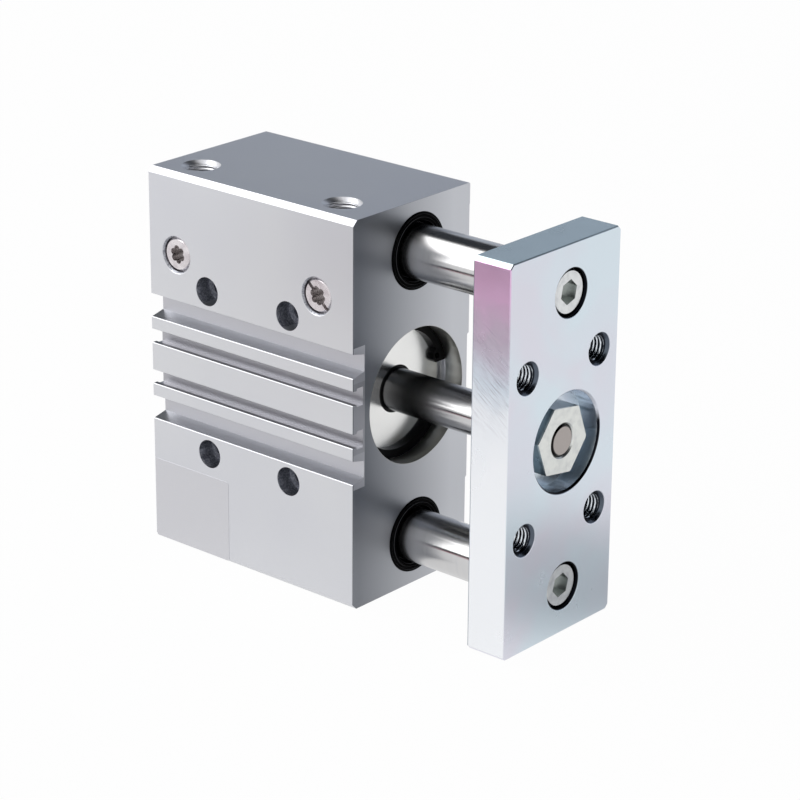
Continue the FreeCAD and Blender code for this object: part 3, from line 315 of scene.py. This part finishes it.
# Painted shade in the grooves: darkest on the ledge just inside a slot's mouth.
slot_ledge_shade = add(tree, "Mix", {0: in_mouth, 6: "C8C8CC", 7: "76767A"}, data_type="RGBA")
ledge_shade = add(tree, "Mix", {0: in_slot, 6: "BCBEC2", 7: slot_ledge_shade}, data_type="RGBA")
back_wall_shade = add(tree, "Mix", {0: in_slot, 6: "C4C4C9", 7: "B4B4B9"}, data_type="RGBA")
groove_shade = add(tree, "Mix", {0: faces_up, 6: back_wall_shade, 7: ledge_shade}, data_type="RGBA")
tone = add(tree, "Mix", {0: in_groove, 6: tone, 7: groove_shade}, data_type="RGBA")
surface = add(tree, "BsdfPrincipled", {"Base Color": tone, "Metallic": 1.0, "Roughness": rough,
                                       "Normal": etched})
tree.links.new(surface.outputs["BSDF"], output.inputs["Surface"])
dress(anodised, "housing")

# %% [markdown]
# ## Blue-passivated zinc plate: the yoke plate
#
# The plate is ground steel, plated with zinc and dipped in a passivating bath. The film is thin
# enough to colour light, like oil on water, so the plate is bluish white with lavender clouds, and
# on the narrow side, where the bath ran off, it turns pink and purple near the top. The colour is
# painted by place on the plate, because a film that is thicker at one end is a fact of the piece
# and not of the view.

# %% Blue-passivated zinc plate
zinc, tree, output, place = new_material("blue_passivated_zinc_plate")
spot = add(tree, "SeparateXYZ", {"Vector": place})
x, y, z = (spot.outputs[letter] for letter in "XYZ")
clouds = add(tree, "TexNoise", {"Vector": place, "Scale": per_mm(45), "Detail": 3.0,
                                "Distortion": 0.6})
face_tone = add(tree, "ValToRGB", {"Fac": clouds}, stops=((0.36, "E6E6F0"), (0.60, "E2EEF6")))
ripple = add(tree, "TexNoise", {"Vector": place, "Scale": per_mm(14), "Detail": 3.0})
rough = add(tree, "MapRange", {"Value": ripple, "To Min": 0.22, "To Max": 0.30})
film_height = add(tree, "MapRange", {"Value": z, "From Min": plate_low.z,
                                     "From Max": plate_high.z})
film = add(tree, "Math", {0: ripple, 1: 0.16, 2: film_height}, operation="MULTIPLY_ADD")
side_tone = add(tree, "ValToRGB", {"Fac": film}, stops=(
    (0.56, "FAFCFF"), (0.70, "F2F6FB"), (0.79, "DAE4EE"), (0.90, "CBC0D0"), (1.0, "EBC6E8")))
on_side = add(tree, "MapRange", {"Value": y, "From Min": plate_low.y + 0.5 * mm,
                                 "From Max": plate_low.y + 0.2 * mm})
tone = add(tree, "Mix", {0: on_side, 6: face_tone, 7: side_tone}, data_type="RGBA")
print("film thickens over", round((plate_high.z - plate_low.z) / mm), "mm")

# %% [markdown]
# The walls of the two screw recesses get painted shade, near black: the shadow in the narrow gap
# round each screw head. The bevels round the tapped holes get a dark grey painted reflection, and
# the bevel of the nut's recess a near-black painted shade round its lower half only.

# %% Painted shade in recesses and on bevels
recess_radius, hole_bevel_radius = 9.7 * mm, 6.3 * mm
rim_inner, rim_outer, rim_depth = 18.2 * mm, 19.4 * mm, 0.9 * mm
sunk = add(tree, "MapRange", {"Value": x, "From Min": plate_high.x - 0.04 * mm,
                              "From Max": plate_high.x - 0.2 * mm})
in_recess = within(tree, place, "X", middles("upper_rod_screw", "lower_rod_screw"),
                   recess_radius)
# Painted shade, near black, on the walls of the screw recesses.
tone = add(tree, "Mix", {0: all_of(tree, in_recess, sunk), 6: tone, 7: "14161C"},
           data_type="RGBA")

# A painted reflection, dark grey, on the bevels round the tapped holes.
tapped = within(tree, place, "X", hole_centres("plate_threads", "Y", "Z"), hole_bevel_radius)
tone = add(tree, "Mix", {0: all_of(tree, tapped, sunk), 6: tone, 7: "59616C"},
           data_type="RGBA")

# Painted shade, near black, on the lower half of the nut recess's bevel.
round_rim = between(tree, from_axes(tree, place, "X", main_axis), rim_inner, rim_outer)
shallow = add(tree, "Math", {0: x, 1: plate_high.x - rim_depth}, operation="GREATER_THAN")
lower = add(tree, "MapRange", {"Value": z, "From Min": 8 * mm, "From Max": 3 * mm})
rim_shade = all_of(tree, round_rim, sunk, shallow, lower)
tone = add(tree, "Mix", {0: rim_shade, 6: tone, 7: "14161C"}, data_type="RGBA")
print("recess walls bare within", round(recess_radius / mm, 1), "mm of each screw")

# %% [markdown]
# Handling scratches slant down the narrow side, and show most above the middle, where the plate was
# gripped. They are long thin noise, turned by 36 degrees, that both lowers the surface a little and
# greys it. The back gets painted shade, a dull grey, as it stands in the shadow between plate and
# body; the top gets a painted reflection of the dark room above it, darker and greener.

# %% Scratches, back and top
scratch_length, scratch_gap, scratch_slant = 7 * mm, 0.22 * mm, math.radians(36)
slant = add(tree, "Mapping", {
    "Vector": place, "Rotation": (0, scratch_slant, 0),
    "Scale": (scratch_length, scratch_length, scratch_gap)}, vector_type="TEXTURE")
scratches = add(tree, "TexNoise", {"Vector": slant, "Scale": 1.0, "Detail": 3.0})
lines = add(tree, "MapRange", {"Value": scratches, "From Min": 0.54, "From Max": 0.66})
gripped = add(tree, "ValToRGB", {"Fac": film_height},
              stops=((0.54, "000000"), (0.70, "FFFFFF"), (0.92, "616161")))
scratched = all_of(tree, lines, gripped, on_side)
faded = add(tree, "Math", {0: scratched, 1: 0.55}, operation="MULTIPLY")
tone = add(tree, "Mix", {0: faded, 6: tone, 7: "7E7688"}, data_type="RGBA")

# Painted shade on the back, which stands in the shadow between plate and body.
at_back = add(tree, "MapRange", {"Value": x, "From Min": plate_low.x + 0.4 * mm,
                                 "From Max": plate_low.x + 0.2 * mm})
tone = add(tree, "Mix", {0: at_back, 6: tone, 7: "A2A9B3"}, data_type="RGBA")
# A painted reflection of the dark room on top: darker and a little greener.
at_top = add(tree, "MapRange", {"Value": z, "From Min": plate_high.z - 0.4 * mm,
                                "From Max": plate_high.z - 0.2 * mm})
tone = add(tree, "Mix", {0: at_top, 6: tone, 7: "BFD0D7"}, data_type="RGBA")
scored = add(tree, "Bump", {"Height": scratched, "Strength": 0.10, "Distance": 0.01 * mm},
             invert=True)
surface = add(tree, "BsdfPrincipled", {"Base Color": tone, "Metallic": 1.0, "Roughness": rough,
                                       "Normal": scored})
tree.links.new(surface.outputs["BSDF"], output.inputs["Surface"])
dress(zinc, "yoke_plate")

# %% [markdown]
# ## Ground and hardened steel: the rods
#
# Guide rods are centreless ground and then superfinished. What is left are rings too fine to feel,
# which blur a reflection along the rod and leave it crisp across. The piston rod has hard chrome on
# the same kind of ground surface. Both are close to a mirror, so almost all of their look is the
# room, and the material adds only faint rings and a few marks: each rod is darker for a short way
# out of the body, and the turned end of the piston rod is browner, with near-black painted shade
# round its bevel.

# %% Ground steel rods
ground, tree, output, place = new_material("ground_hardened_steel")
# Grinding rings are about 0.05 mm apart; they are drawn at 0.6 mm to show at all.
along = add(tree, "Mapping", {"Vector": place, "Scale": (per_mm(0.6), per_mm(40), per_mm(40))})
rings = add(tree, "TexNoise", {"Vector": along, "Scale": 1.0, "Detail": 2.0})
tone = add(tree, "ValToRGB", {"Fac": rings}, stops=((0.0, "CFCFD1"), (1.0, "DCDBDA")))
rough = add(tree, "MapRange", {"Value": rings, "To Min": 0.16, "To Max": 0.20})
x = add(tree, "SeparateXYZ", {"Vector": place}).outputs["X"]
radius = from_axes(tree, place, "X", main_axis)

# The stub's face is brownish grey, with painted shade, near black, round its bevel.
stub_face, stub_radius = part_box("piston_rod")[1].x, 6.2 * mm
stub_share = add(tree, "MapRange", {"Value": radius, "From Min": 0.0, "From Max": stub_radius})
stub_tone_and_shade = add(tree, "ValToRGB", {"Fac": stub_share}, stops=((0.80, "AFA8A4"), (0.86, "1C1A1A")))
at_stub = add(tree, "MapRange", {"Value": x, "From Min": stub_face - 4.2 * mm,
                                 "From Max": stub_face - 4.0 * mm})
tone = add(tree, "Mix", {0: at_stub, 6: tone, 7: stub_tone_and_shade}, data_type="RGBA")

# Each rod is darker for a short way out of the body: 10 mm on the guide rods, 32 mm on the piston
# rod.
guide_dark_length, piston_dark_length, between_rods = 10 * mm, 32 * mm, 15 * mm
on_piston_rod = add(tree, "Math", {0: radius, 1: between_rods}, operation="LESS_THAN")
dark_end = add(tree, "Math", {0: on_piston_rod, 1: piston_dark_length - guide_dark_length,
                              2: body_high.x + guide_dark_length}, operation="MULTIPLY_ADD")
near_body_dark = add(tree, "MapRange", {"Value": x, "From Min": dark_end, "From Max": body_high.x - 1 * mm,
                             "To Max": 0.9}, interpolation_type="SMOOTHSTEP")
tone = add(tree, "Mix", {0: near_body_dark, 6: tone, 7: "505052"}, data_type="RGBA")
round_x = add(tree, "Tangent", direction_type="RADIAL", axis="X")
surface = add(tree, "BsdfPrincipled", {
    "Base Color": tone, "Metallic": 1.0, "Roughness": rough, "Anisotropic": 0.9,
    "Anisotropic Rotation": 0.25, "Tangent": round_x})
tree.links.new(surface.outputs["BSDF"], output.inputs["Surface"])
dress(ground, "upper_guide_rod", "lower_guide_rod", "piston_rod")

# %% [markdown]
# ## Turned aluminium: the caps and the piston
#
# These are turned on a lathe and left clear. The tool leaves rings round the axis, and rings fan
# light out into bright and dark wedges. Anisotropy with a radial tangent about X gives the wedges,
# and a wave of distance from the axis gives the rings.

# %% Turned aluminium
turned, tree, output, place = new_material("turned_aluminium")
# Feed marks of a finishing cut, 0.3 mm per turn.
phase = add(tree, "Math", {0: from_axes(tree, place, "X", main_axis),
                           1: 2 * math.pi * per_mm(0.3)}, operation="MULTIPLY")
feed = add(tree, "Math", {0: phase}, operation="SINE")
patch = add(tree, "TexNoise", {"Vector": place, "Scale": per_mm(9), "Detail": 2.0})
tone = add(tree, "ValToRGB", {"Fac": patch}, stops=((0.0, "F0F0EE"), (1.0, "FAFAF8")))
bump = add(tree, "Bump", {"Height": feed, "Strength": 0.08, "Distance": 0.01 * mm})
round_x = add(tree, "Tangent", direction_type="RADIAL", axis="X")
surface = add(tree, "BsdfPrincipled", {
    "Base Color": tone, "Metallic": 1.0, "Roughness": 0.20, "Anisotropic": 0.5,
    "Normal": bump, "Tangent": round_x})
tree.links.new(surface.outputs["BSDF"], output.inputs["Surface"])
dress(turned, "front_bearing_cap", "rear_end_cap", "piston")


# %% [markdown]
# ## Bright zinc on fasteners
#
# Screws, nuts and plugs are barrel plated: they tumble in the bath, so the zinc is warm and bright
# with tiny dents from the other screws. The nut's face is a little creamier than the screw heads.
# Their sockets and hollows get painted shade.

# %% Barrel-plated fasteners
def barrel_plated(name, dark, light, roughness, letter, face, outward, hollow_shade):
    """Bright zinc with tumbling dents about 3 mm across, and painted shade from 0.3 to 1 mm deep.

    The face is the place of the piece's outer face along the axis of that letter.
    """
    material, tree, output, place = new_material(name)
    dents = add(tree, "TexNoise", {"Vector": place, "Scale": per_mm(3), "Detail": 3.0})
    tone = add(tree, "ValToRGB", {"Fac": dents}, stops=((0.3, dark), (0.6, light)))
    station = add(tree, "SeparateXYZ", {"Vector": place}).outputs[letter]
    # Painted shade from 0.3 to 1 mm below the face: in sockets, recesses and on facets.
    sunk = add(tree, "MapRange", {"Value": station, "From Min": face - outward * 0.3 * mm,
                                  "From Max": face - outward * 1.0 * mm})
    tone = add(tree, "Mix", {0: sunk, 6: tone, 7: hollow_shade}, data_type="RGBA")
    rough = add(tree, "MapRange", {"Value": dents, "To Min": roughness - 0.06,
                                   "To Max": roughness + 0.06})
    bump = add(tree, "Bump", {"Height": dents, "Strength": 0.05, "Distance": 0.03 * mm})
    surface = add(tree, "BsdfPrincipled", {"Base Color": tone, "Metallic": 1.0,
                                           "Roughness": rough, "Normal": bump})
    tree.links.new(surface.outputs["BSDF"], output.inputs["Surface"])
    return material


dress(barrel_plated("barrel_plated_nut", "D8DAD8", "EAECE8", 0.30, "X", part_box("rod_nut")[1].x, 1,
                    "8C969C"), "rod_nut", "piston_nut")
dress(barrel_plated("barrel_plated_screw", "D2D4D6", "E8EAEA", 0.24, "X",
                    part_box("upper_rod_screw")[1].x, 1, "C6CAC8"),
      "upper_rod_screw", "lower_rod_screw")
dress(barrel_plated("barrel_plated_plug", "CFC8CB", "E8E3E5", 0.26, "Y",
                    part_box("front_port_plug")[0].y, -1, "C0BCBC"),
      "rear_port_plug", "front_port_plug")


# %% [markdown]
# ## Nitrile rubber: seals and wipers
#
# Moulded nitrile rubber is black with a soft sheen from the mould and from a trace of grease. It is
# not a metal: a plain dark base with little gloss is enough, and a fine bump breaks it. The guide
# rods' wipers have round ribs, with a painted highlight, a grey line, along each crest, so their
# colour follows a wave of distance from the rod. The same plain material, in other colours, serves
# the hidden pieces.

# %% Rubber, springs and hidden pieces
def moulded(name, dark, light, roughness, grain_mm, strength, metallic=0.0, shine=0.5):
    """A matt piece with slow colour change and fine grain of the size given."""
    material, tree, output, place = new_material(name)
    slow = add(tree, "TexNoise", {"Vector": place, "Scale": per_mm(8), "Detail": 2.0})
    tone = add(tree, "ValToRGB", {"Fac": slow}, stops=((0.0, dark), (1.0, light)))
    rough = add(tree, "MapRange", {"Value": slow, "To Min": roughness - 0.05,
                                   "To Max": roughness + 0.05})
    fine = add(tree, "TexNoise", {"Vector": place, "Scale": per_mm(grain_mm), "Detail": 2.0})
    bump = add(tree, "Bump", {"Height": fine, "Strength": strength, "Distance": 0.02 * mm})
    surface = add(tree, "BsdfPrincipled", {
        "Base Color": tone, "Metallic": metallic, "Specular IOR Level": shine,
        "Roughness": rough, "Normal": bump})
    tree.links.new(surface.outputs["BSDF"], output.inputs["Surface"])
    return material


def ribbed_rubber(name, rib_mm=1.1):
    """Black rubber with a painted highlight, a grey line along the crest of each round rib."""
    material, tree, output, place = new_material(name)
    radius = from_axes(tree, place, "X", middles("upper_guide_wiper", "lower_guide_wiper"))
    ribs = add(tree, "Math", {0: radius, 1: 2 * math.pi * per_mm(rib_mm)}, operation="MULTIPLY")
    crest = add(tree, "Math", {0: ribs}, operation="SINE")
    # A painted highlight: a grey line along the crest of each rib.
    tone = add(tree, "ValToRGB", {"Fac": crest}, stops=((0.86, "020203"), (1.0, "5C5C5E")))
    surface = add(tree, "BsdfPrincipled", {
        "Base Color": tone, "Specular IOR Level": 0.02, "Roughness": 0.35})
    tree.links.new(surface.outputs["BSDF"], output.inputs["Surface"])
    return material


dress(ribbed_rubber("ribbed_nitrile_rubber"), "upper_guide_wiper", "lower_guide_wiper")
dress(moulded("moulded_nitrile_rubber", "050506", "0A0B0C", 0.30, 0.4, 0.1, shine=0.12),
      "rod_wiper", "rod_seal", "front_cap_o_ring",
      "rear_cap_o_ring", "front_piston_seal", "rear_piston_seal", "piston_rod_o_ring")
dress(moulded("phosphated_spring_steel", "060607", "0E0E0F", 0.45, 0.3, 0.2, metallic=0.6,
              shine=0.2),
      "front_retaining_ring", "rear_retaining_ring")
dress(moulded("ground_bearing_steel", "9A9CA0", "B4B6BA", 0.22, 0.3, 0.1, metallic=1.0),
      *[name for name in nodes if name.endswith(("_sleeve", "_spacer"))])
dress(moulded("moulded_acetal", "DCDCD2", "E8E8E0", 0.45, 0.5, 0.1),
      *[name for name in nodes if name.endswith("_cage")])
dress(moulded("cast_polyurethane", "1F2A3C", "2A3850", 0.40, 0.5, 0.1),
      "front_bumper", "rear_bumper")
dress(moulded("filled_ptfe", "57524B", "676159", 0.50, 0.3, 0.1), "piston_wear_band")
dress(moulded("bonded_ferrite", "262424", "343131", 0.55, 0.3, 0.2), "magnet_ring")
dress(moulded("sintered_bronze", "8E6A3A", "A8814C", 0.40, 0.25, 0.3, metallic=1.0), "rod_bush")


# %% [markdown]
# ## Screw threads
#
# CAD leaves a tapped hole as a plain bore. Where light gets into one, the threads are the first
# thing a maker looks for, so each hole gets a liner: a tube whose inner wall follows the thread. At
# each angle and depth the radius is a V wave between the thread's two radii, or the countersink's
# cone where that is wider, so the first turns run out into the cone as they do on a real part.

# %% Threaded liners
def new_piece(name, mesh, material, body):
    """An object made of a bmesh, which rides on a body and wears the material given."""
    bmesh.ops.recalc_face_normals(mesh, faces=mesh.faces)
    data = bpy.data.meshes.new(name)
    mesh.to_mesh(data)
    mesh.free()
    data.materials.append(material)
    piece = bpy.data.objects.new(name, data)
    bpy.context.scene.collection.objects.link(piece)
    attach(piece, body)
    return piece


def thread_wave(turns):
    """How far a thread is from its crest, 0, to its root, 1: a V with both tips cut flat."""
    v_wave = abs(2 * (turns % 1) - 1)
    return min(1.0, max(0.0, v_wave * 1.3 - 0.15))


def threaded_tube(mouth, inward, major, minor, pitch, depths, cones):
    """A threaded tube in a bore. mouth is the hole's centre on the face, and inward its way in.

    depths are where the tube starts and ends; cones are (depth, radius) where 45 degree
    countersinks reach their faces.
    """
    steps, rows_per_turn, wall = 44, 12, 0.03 * mm
    rows = int((depths[1] - depths[0]) / pitch * rows_per_turn)
    to_bore = inward.to_track_quat("Z", "Y")
    mesh = bmesh.new()

    def ring(depth, inner):
        corners = []
        for step in range(steps):
            angle = 2 * math.pi * step / steps
            wave = thread_wave(depth / pitch + step / steps)
            cone = max(radius - abs(depth - face) for face, radius in cones)
            radius = min(major, max(minor + (major - minor) * wave, cone))
            if not inner:
                radius = major + wall
            local = Vector((radius * math.cos(angle), radius * math.sin(angle), depth))
            corners.append(mesh.verts.new(mouth + to_bore @ local))
        return corners

    stations = [depths[0] + (depths[1] - depths[0]) * row / rows for row in range(rows + 1)]
    walls = [[ring(depth, inner) for depth in stations] for inner in (True, False)]
    seams = [pair for grid in walls for pair in zip(grid, grid[1:])]
    seams += [(walls[0][end], walls[1][end]) for end in (0, -1)]
    for low, high in seams:
        for i in range(steps):
            j = (i + 1) % steps
            mesh.faces.new((low[i], low[j], high[j], high[i]))
    for face in mesh.faces:
        face.smooth = True
    return mesh


print("thread wave at a quarter turn:", thread_wave(0.25))


# %% [markdown]
# A cut thread keeps the metal's bright colour on its crests and gets painted shade, near black, at
# its roots, so its colour follows the distance from the hole's axis. The four plate holes are M10
# and open at both ends. The two ports on top have a finer pipe thread in the body's own metal.

# %% Threads in the plate and the ports
def cut_thread(name, letter, places, minor, major, crest, root_shade):
    """Metal whose colour goes from a bright crest to painted shade at the root, with distance from
    the axis.
    """
    material, tree, output, place = new_material(name)
    deep = add(tree, "MapRange", {"Value": from_axes(tree, place, letter, places),
                                  "From Min": minor, "From Max": major})
    chatter = add(tree, "TexNoise", {"Vector": place, "Scale": per_mm(1.2), "Detail": 2.0})
    mixed = add(tree, "Math", {0: chatter, 1: 0.4, 2: deep}, operation="MULTIPLY_ADD")
    # Painted shade, near black, at the thread's roots.
    tone = add(tree, "ValToRGB", {"Fac": mixed}, stops=((0.42, crest), (0.75, root_shade)))
    surface = add(tree, "BsdfPrincipled", {"Base Color": tone, "Metallic": 1.0,
                                           "Roughness": 0.16})
    tree.links.new(surface.outputs["BSDF"], output.inputs["Surface"])
    return material


m10_pitch, m10_height, countersink = 1.5 * mm, 0.81 * mm, 1.2 * mm
plate_thickness = plate_high.x - plate_low.x
bore = mount("plate_threads")["dims"]["hole_r_mm"] * mm
corner_holes = hole_centres("plate_threads", "Y", "Z")
thread_zinc = cut_thread("cut_thread_in_zinc", "X", corner_holes, bore - m10_height, bore,
                         "F0F6FC", "1C2028")
for index, centre in enumerate(corner_holes):
    tube = threaded_tube(Vector((plate_high.x, centre.y, centre.z)), Vector((-1, 0, 0)),
                         bore, bore - m10_height, m10_pitch,
                         (countersink, plate_thickness - countersink),
                         [(0, bore + countersink), (plate_thickness, bore + countersink)])
    new_piece(f"plate_thread_{index + 1}", tube, thread_zinc, "carriage")

g_quarter_pitch, g_quarter_height, port_thread_depth = 1.337 * mm, 0.4 * mm, 11 * mm
for end in ("rear", "front"):
    port = mount(f"{end}_air_port")
    bore = port["dims"]["r_mm"] * mm
    tube = threaded_tube(Vector(port["pos_m"]), Vector((0, 0, -1)), bore,
                         bore - g_quarter_height, g_quarter_pitch,
                         (0.1 * mm, port_thread_depth), [(0, bore)])
    new_piece(f"{end}_port_thread", tube, anodised, "cylinder_body")


# %% [markdown]
# ## The bare sticker
#
# A rating sticker sits low on the slotted face. It is left blank here: a sheet of matt silver film
# with rounded corners, a tenth of a millimetre thick. It is modelled as its own thin solid so that
# its edge catches light as a real one does.

# %% Sticker
def rounded_sheet(low, high, corner, face_y, thickness):
    """A thin sheet on a face that looks along -Y, between two (x, z) corners."""
    mesh = bmesh.new()
    centres = (
        (high[0] - corner, high[1] - corner, 0), (low[0] + corner, high[1] - corner, 90),
        (low[0] + corner, low[1] + corner, 180), (high[0] - corner, low[1] + corner, 270))
    outline = []
    for x, z, start in centres:
        for step in range(7):
            angle = math.radians(start + 15 * step)
            outline.append((x + corner * math.cos(angle), z + corner * math.sin(angle)))
    sunk = 0.02 * mm
    front = [mesh.verts.new((x, face_y - thickness, z)) for x, z in outline]
    back = [mesh.verts.new((x, face_y + sunk, z)) for x, z in outline]
    mesh.faces.new(front)
    mesh.faces.new(back[::-1])
    for i in range(len(outline)):
        j = (i + 1) % len(outline)
        mesh.faces.new((front[i], back[i], back[j], front[j]))
    return mesh


film, tree, output, place = new_material("silver_polyester_film")
fleck = add(tree, "TexNoise", {"Vector": place, "Scale": per_mm(0.5), "Detail": 2.0})
tone = add(tree, "ValToRGB", {"Fac": fleck}, stops=((0.0, "D2D2D6"), (1.0, "D5D5D9")))
bump = add(tree, "Bump", {"Height": fleck, "Strength": 0.05, "Distance": 0.01 * mm})
surface = add(tree, "BsdfPrincipled", {"Base Color": tone, "Metallic": 1.0, "Roughness": 0.38,
                                       "Normal": bump})
tree.links.new(surface.outputs["BSDF"], output.inputs["Surface"])
sheet = rounded_sheet((0.4 * mm, body_low.z + 1.2 * mm), (38.5 * mm, body_low.z + 33.0 * mm),
                      0.8 * mm, slotted_face_y, 0.1 * mm)
sticker = new_piece("bare_sticker", sheet, film, "cylinder_body")
print("sticker, mm:", [round(value / mm, 1) for value in sticker.dimensions])


# %% [markdown]
# ## Floor
#
# The part stands on a pale floor that shows white to the camera and keeps a little of the shadow.
# Metal that mirrors the floor meets less of that white, and least beside the plate, which stands
# over its own shade there.

# %% Floor
def white_share(tree, seen, mirrored):
    """How much of a ray meets plain white: one share when seen, one when mirrored or refracted."""
    ray = add(tree, "LightPath")
    bounced = add(tree, "Math", {0: ray.outputs["Is Glossy Ray"],
                                 1: ray.outputs["Is Transmission Ray"]}, operation="MAXIMUM")
    part = add(tree, "Math", {0: bounced, 1: mirrored}, operation="MULTIPLY")
    return add(tree, "Math", {0: ray.outputs["Is Camera Ray"], 1: seen, 2: part},
               operation="MULTIPLY_ADD")


def mix_with_white(tree, share, shader, output):
    """Send a shader to the output, with this share of plain white light in its place."""
    glow = add(tree, "Emission", {"Color": "FFFFFF", "Strength": 1.0})
    both = add(tree, "MixShader", {0: share, 1: shader, 2: glow})
    tree.links.new(both.outputs["Shader"], output.inputs["Surface"])


def card(name, corners, material):
    """A flat stage piece through four corners."""
    data = bpy.data.meshes.new(name)
    data.from_pydata([tuple(corner) for corner in corners], [], [(0, 1, 2, 3)])
    data.materials.append(material)
    piece = bpy.data.objects.new(name, data)
    bpy.context.scene.collection.objects.link(piece)
    return piece


pale, tree, output, place = new_material("pale_floor")
shade_middle = [Vector((plate_high.x + 36 * mm, 42 * mm, 0.0))]
shade_inner, shade_outer = 20 * mm, 85 * mm
open_floor = add(tree, "MapRange", {
    "Value": from_axes(tree, place, "Z", shade_middle), "From Min": shade_inner,
    "From Max": shade_outer, "To Min": 0.30, "To Max": 0.78}, interpolation_type="SMOOTHSTEP")
matt = add(tree, "BsdfDiffuse", {"Color": "E6E6E8"})
mix_with_white(tree, white_share(tree, 0.98, open_floor), matt, output)
reach = 6.0
floor = card("floor", [(-reach, -reach, body_low.z), (reach, -reach, body_low.z),
                       (reach, reach, body_low.z), (-reach, reach, body_low.z)], pale)
print("floor, m:", [round(value, 1) for value in floor.dimensions])


# %% [markdown]
# ## Cards
#
# Bright metal has nothing to show until it has something to mirror. Grey cards hang far behind, a
# black flag hangs to the right, and two low strips, one black and one rose, stand in front on the
# left, where they draw a thin line along each rod. They are only there for metal: the camera itself
# sees plain white wherever a card would come into view.

# %% Cards
def card_tone(tree, place, grain_mm, dark, light):
    """A nearly even colour with a faint grain of the size given."""
    grain = add(tree, "TexNoise", {"Vector": place, "Scale": per_mm(grain_mm), "Detail": 1.0})
    return add(tree, "ValToRGB", {"Fac": grain}, stops=((0.0, dark), (1.0, light)))


def felt(name, dark, light):
    """Plain cloth for a card: a matt colour with a faint weave 2 mm apart."""
    material, tree, output, place = new_material(name)
    cloth = add(tree, "BsdfDiffuse", {"Color": card_tone(tree, place, 2, dark, light)})
    mix_with_white(tree, white_share(tree, 1.0, 0.0), cloth, output)
    return material


def lit_paper(name, dark, light):
    """A card lit from behind: an even glow of about one colour, with faint fibres 3 mm long."""
    material, tree, output, place = new_material(name)
    glow = add(tree, "Emission", {"Color": card_tone(tree, place, 3, dark, light),
                                  "Strength": 1.0})
    mix_with_white(tree, white_share(tree, 1.0, 0.0), glow, output)
    return material


def behind(name, angles, distance, half_width, material):
    """A card behind the part, between two heights given as angles above the horizon."""
    corners = []
    for side, angle in ((-1, angles[0]), (1, angles[0]), (1, angles[1]), (-1, angles[1])):
        height = math.radians(angle)
        corners.append((side * half_width, distance * math.cos(height),
                        distance * math.sin(height)))
    return card(name, corners, material)


def strip(name, heights, material):
    """A low strip in front on the left, between two heights in millimetres from the axis."""
    left, right, out = -0.13, 0.08, -0.27
    low, high = (value * mm for value in heights)
    return card(name, [(left, out, low), (right, out, low), (right, out, high),
                       (left, out, high)], material)


black_felt = felt("black_felt", "0A0A0C", "101012")
behind("back_flag", (37, 84), 1.9, 3.2, lit_paper("smoke_paper", "34373C", "3A3D42"))
behind("back_card", (-1, 36), 2.4, 3.2, lit_paper("grey_paper", "B4BBC6", "BAC1CC"))
card("right_flag", [(1.7, -0.9, 0.75), (1.7, 1.6, 0.75), (0.7, 1.6, 1.9), (0.7, -0.9, 1.9)],
     black_felt)
strip("black_strip", (-30, 4), black_felt)
strip("rose_strip", (-46, -30), lit_paper("rose_paper", "A8747E", "B07C86"))

# %% [markdown]
# ## Room and lamp
#
# The room lights everything evenly from a pale grey sky, which shows white to the camera and to
# metal. One big softbox above and to the left front gives the bright bevels and the white streak on
# the rods.

# %% World and lamp
scene = bpy.context.scene
scene.view_settings.view_transform = "Standard"
world = bpy.data.worlds.new("studio")
world.use_nodes = True
scene.world = world
tree = world.node_tree
tree.nodes.clear()
room = add(tree, "Background", {"Color": "D8DADE", "Strength": 1.0})
white = add(tree, "Background", {"Color": "FFFFFF", "Strength": 1.0})
sky = add(tree, "MixShader", {0: white_share(tree, 1.0, 1.0), 1: room, 2: white})
end = tree.nodes.new("ShaderNodeOutputWorld")
tree.links.new(sky.outputs["Shader"], end.inputs["Surface"])


def softbox(name, direction, distance, width, height, radiance):
    """An area lamp aimed at the part, as bright as a card of this radiance."""
    data = bpy.data.lights.new(name, "AREA")
    data.shape = "RECTANGLE"
    data.size = width
    data.size_y = height
    data.energy = radiance * math.pi * width * height
    lamp = bpy.data.objects.new(name, data)
    middle = (Vector(cad_box[0]) + Vector(cad_box[1])) / 2
    way = Vector(direction).normalized()
    lamp.location = middle + way * distance
    lamp.rotation_euler = way.to_track_quat("Z", "Y").to_euler()
    scene.collection.objects.link(lamp)
    print(name, "energy", round(data.energy, 1), "W")
    return lamp


softbox("key_softbox", (-0.61, -0.52, 0.60), 1.3, 1.2, 1.5, 1.5)

# %% [markdown]
# ## Camera
#
# A long lens from the front right, a little above: the plate comes towards the viewer and the
# slotted side runs away to the left. Height and turn are given as angles about the part, so the
# numbers can be read as "40.6 degrees round, 21 degrees up, 1.07 m away". The camera looks at the
# middle of the body's end face, shifted so that the whole part sits in the frame.

# %% Camera
azimuth, elevation, roll = (math.radians(angle) for angle in (40.62, 20.99, 0.47))
distance = 1070.75 * mm
back = Vector((math.sin(azimuth) * math.cos(elevation), -math.cos(azimuth) * math.cos(elevation),
               math.sin(elevation)))
level_right = (-back).cross(Vector((0, 0, 1))).normalized()
level_up = level_right.cross(-back)
right = math.cos(roll) * level_right + math.sin(roll) * level_up
up = -math.sin(roll) * level_right + math.cos(roll) * level_up
pad_height = 0.5 * mm
end_face_middle = Vector((body_high.x, (body_low.y + body_high.y - pad_height) / 2, 0))
aim = end_face_middle - right * 4.08 * mm - up * 1.02 * mm
camera_data = bpy.data.cameras.new("camera")
camera_data.sensor_width = 36.0
camera_data.lens = 133.04
camera = bpy.data.objects.new("camera", camera_data)
turn = Matrix((right, up, back)).transposed()
camera.matrix_world = Matrix.Translation(aim + back * distance) @ turn.to_4x4()
scene.collection.objects.link(camera)
scene.camera = camera
print("camera at, mm:", [round(value / mm) for value in camera.location])
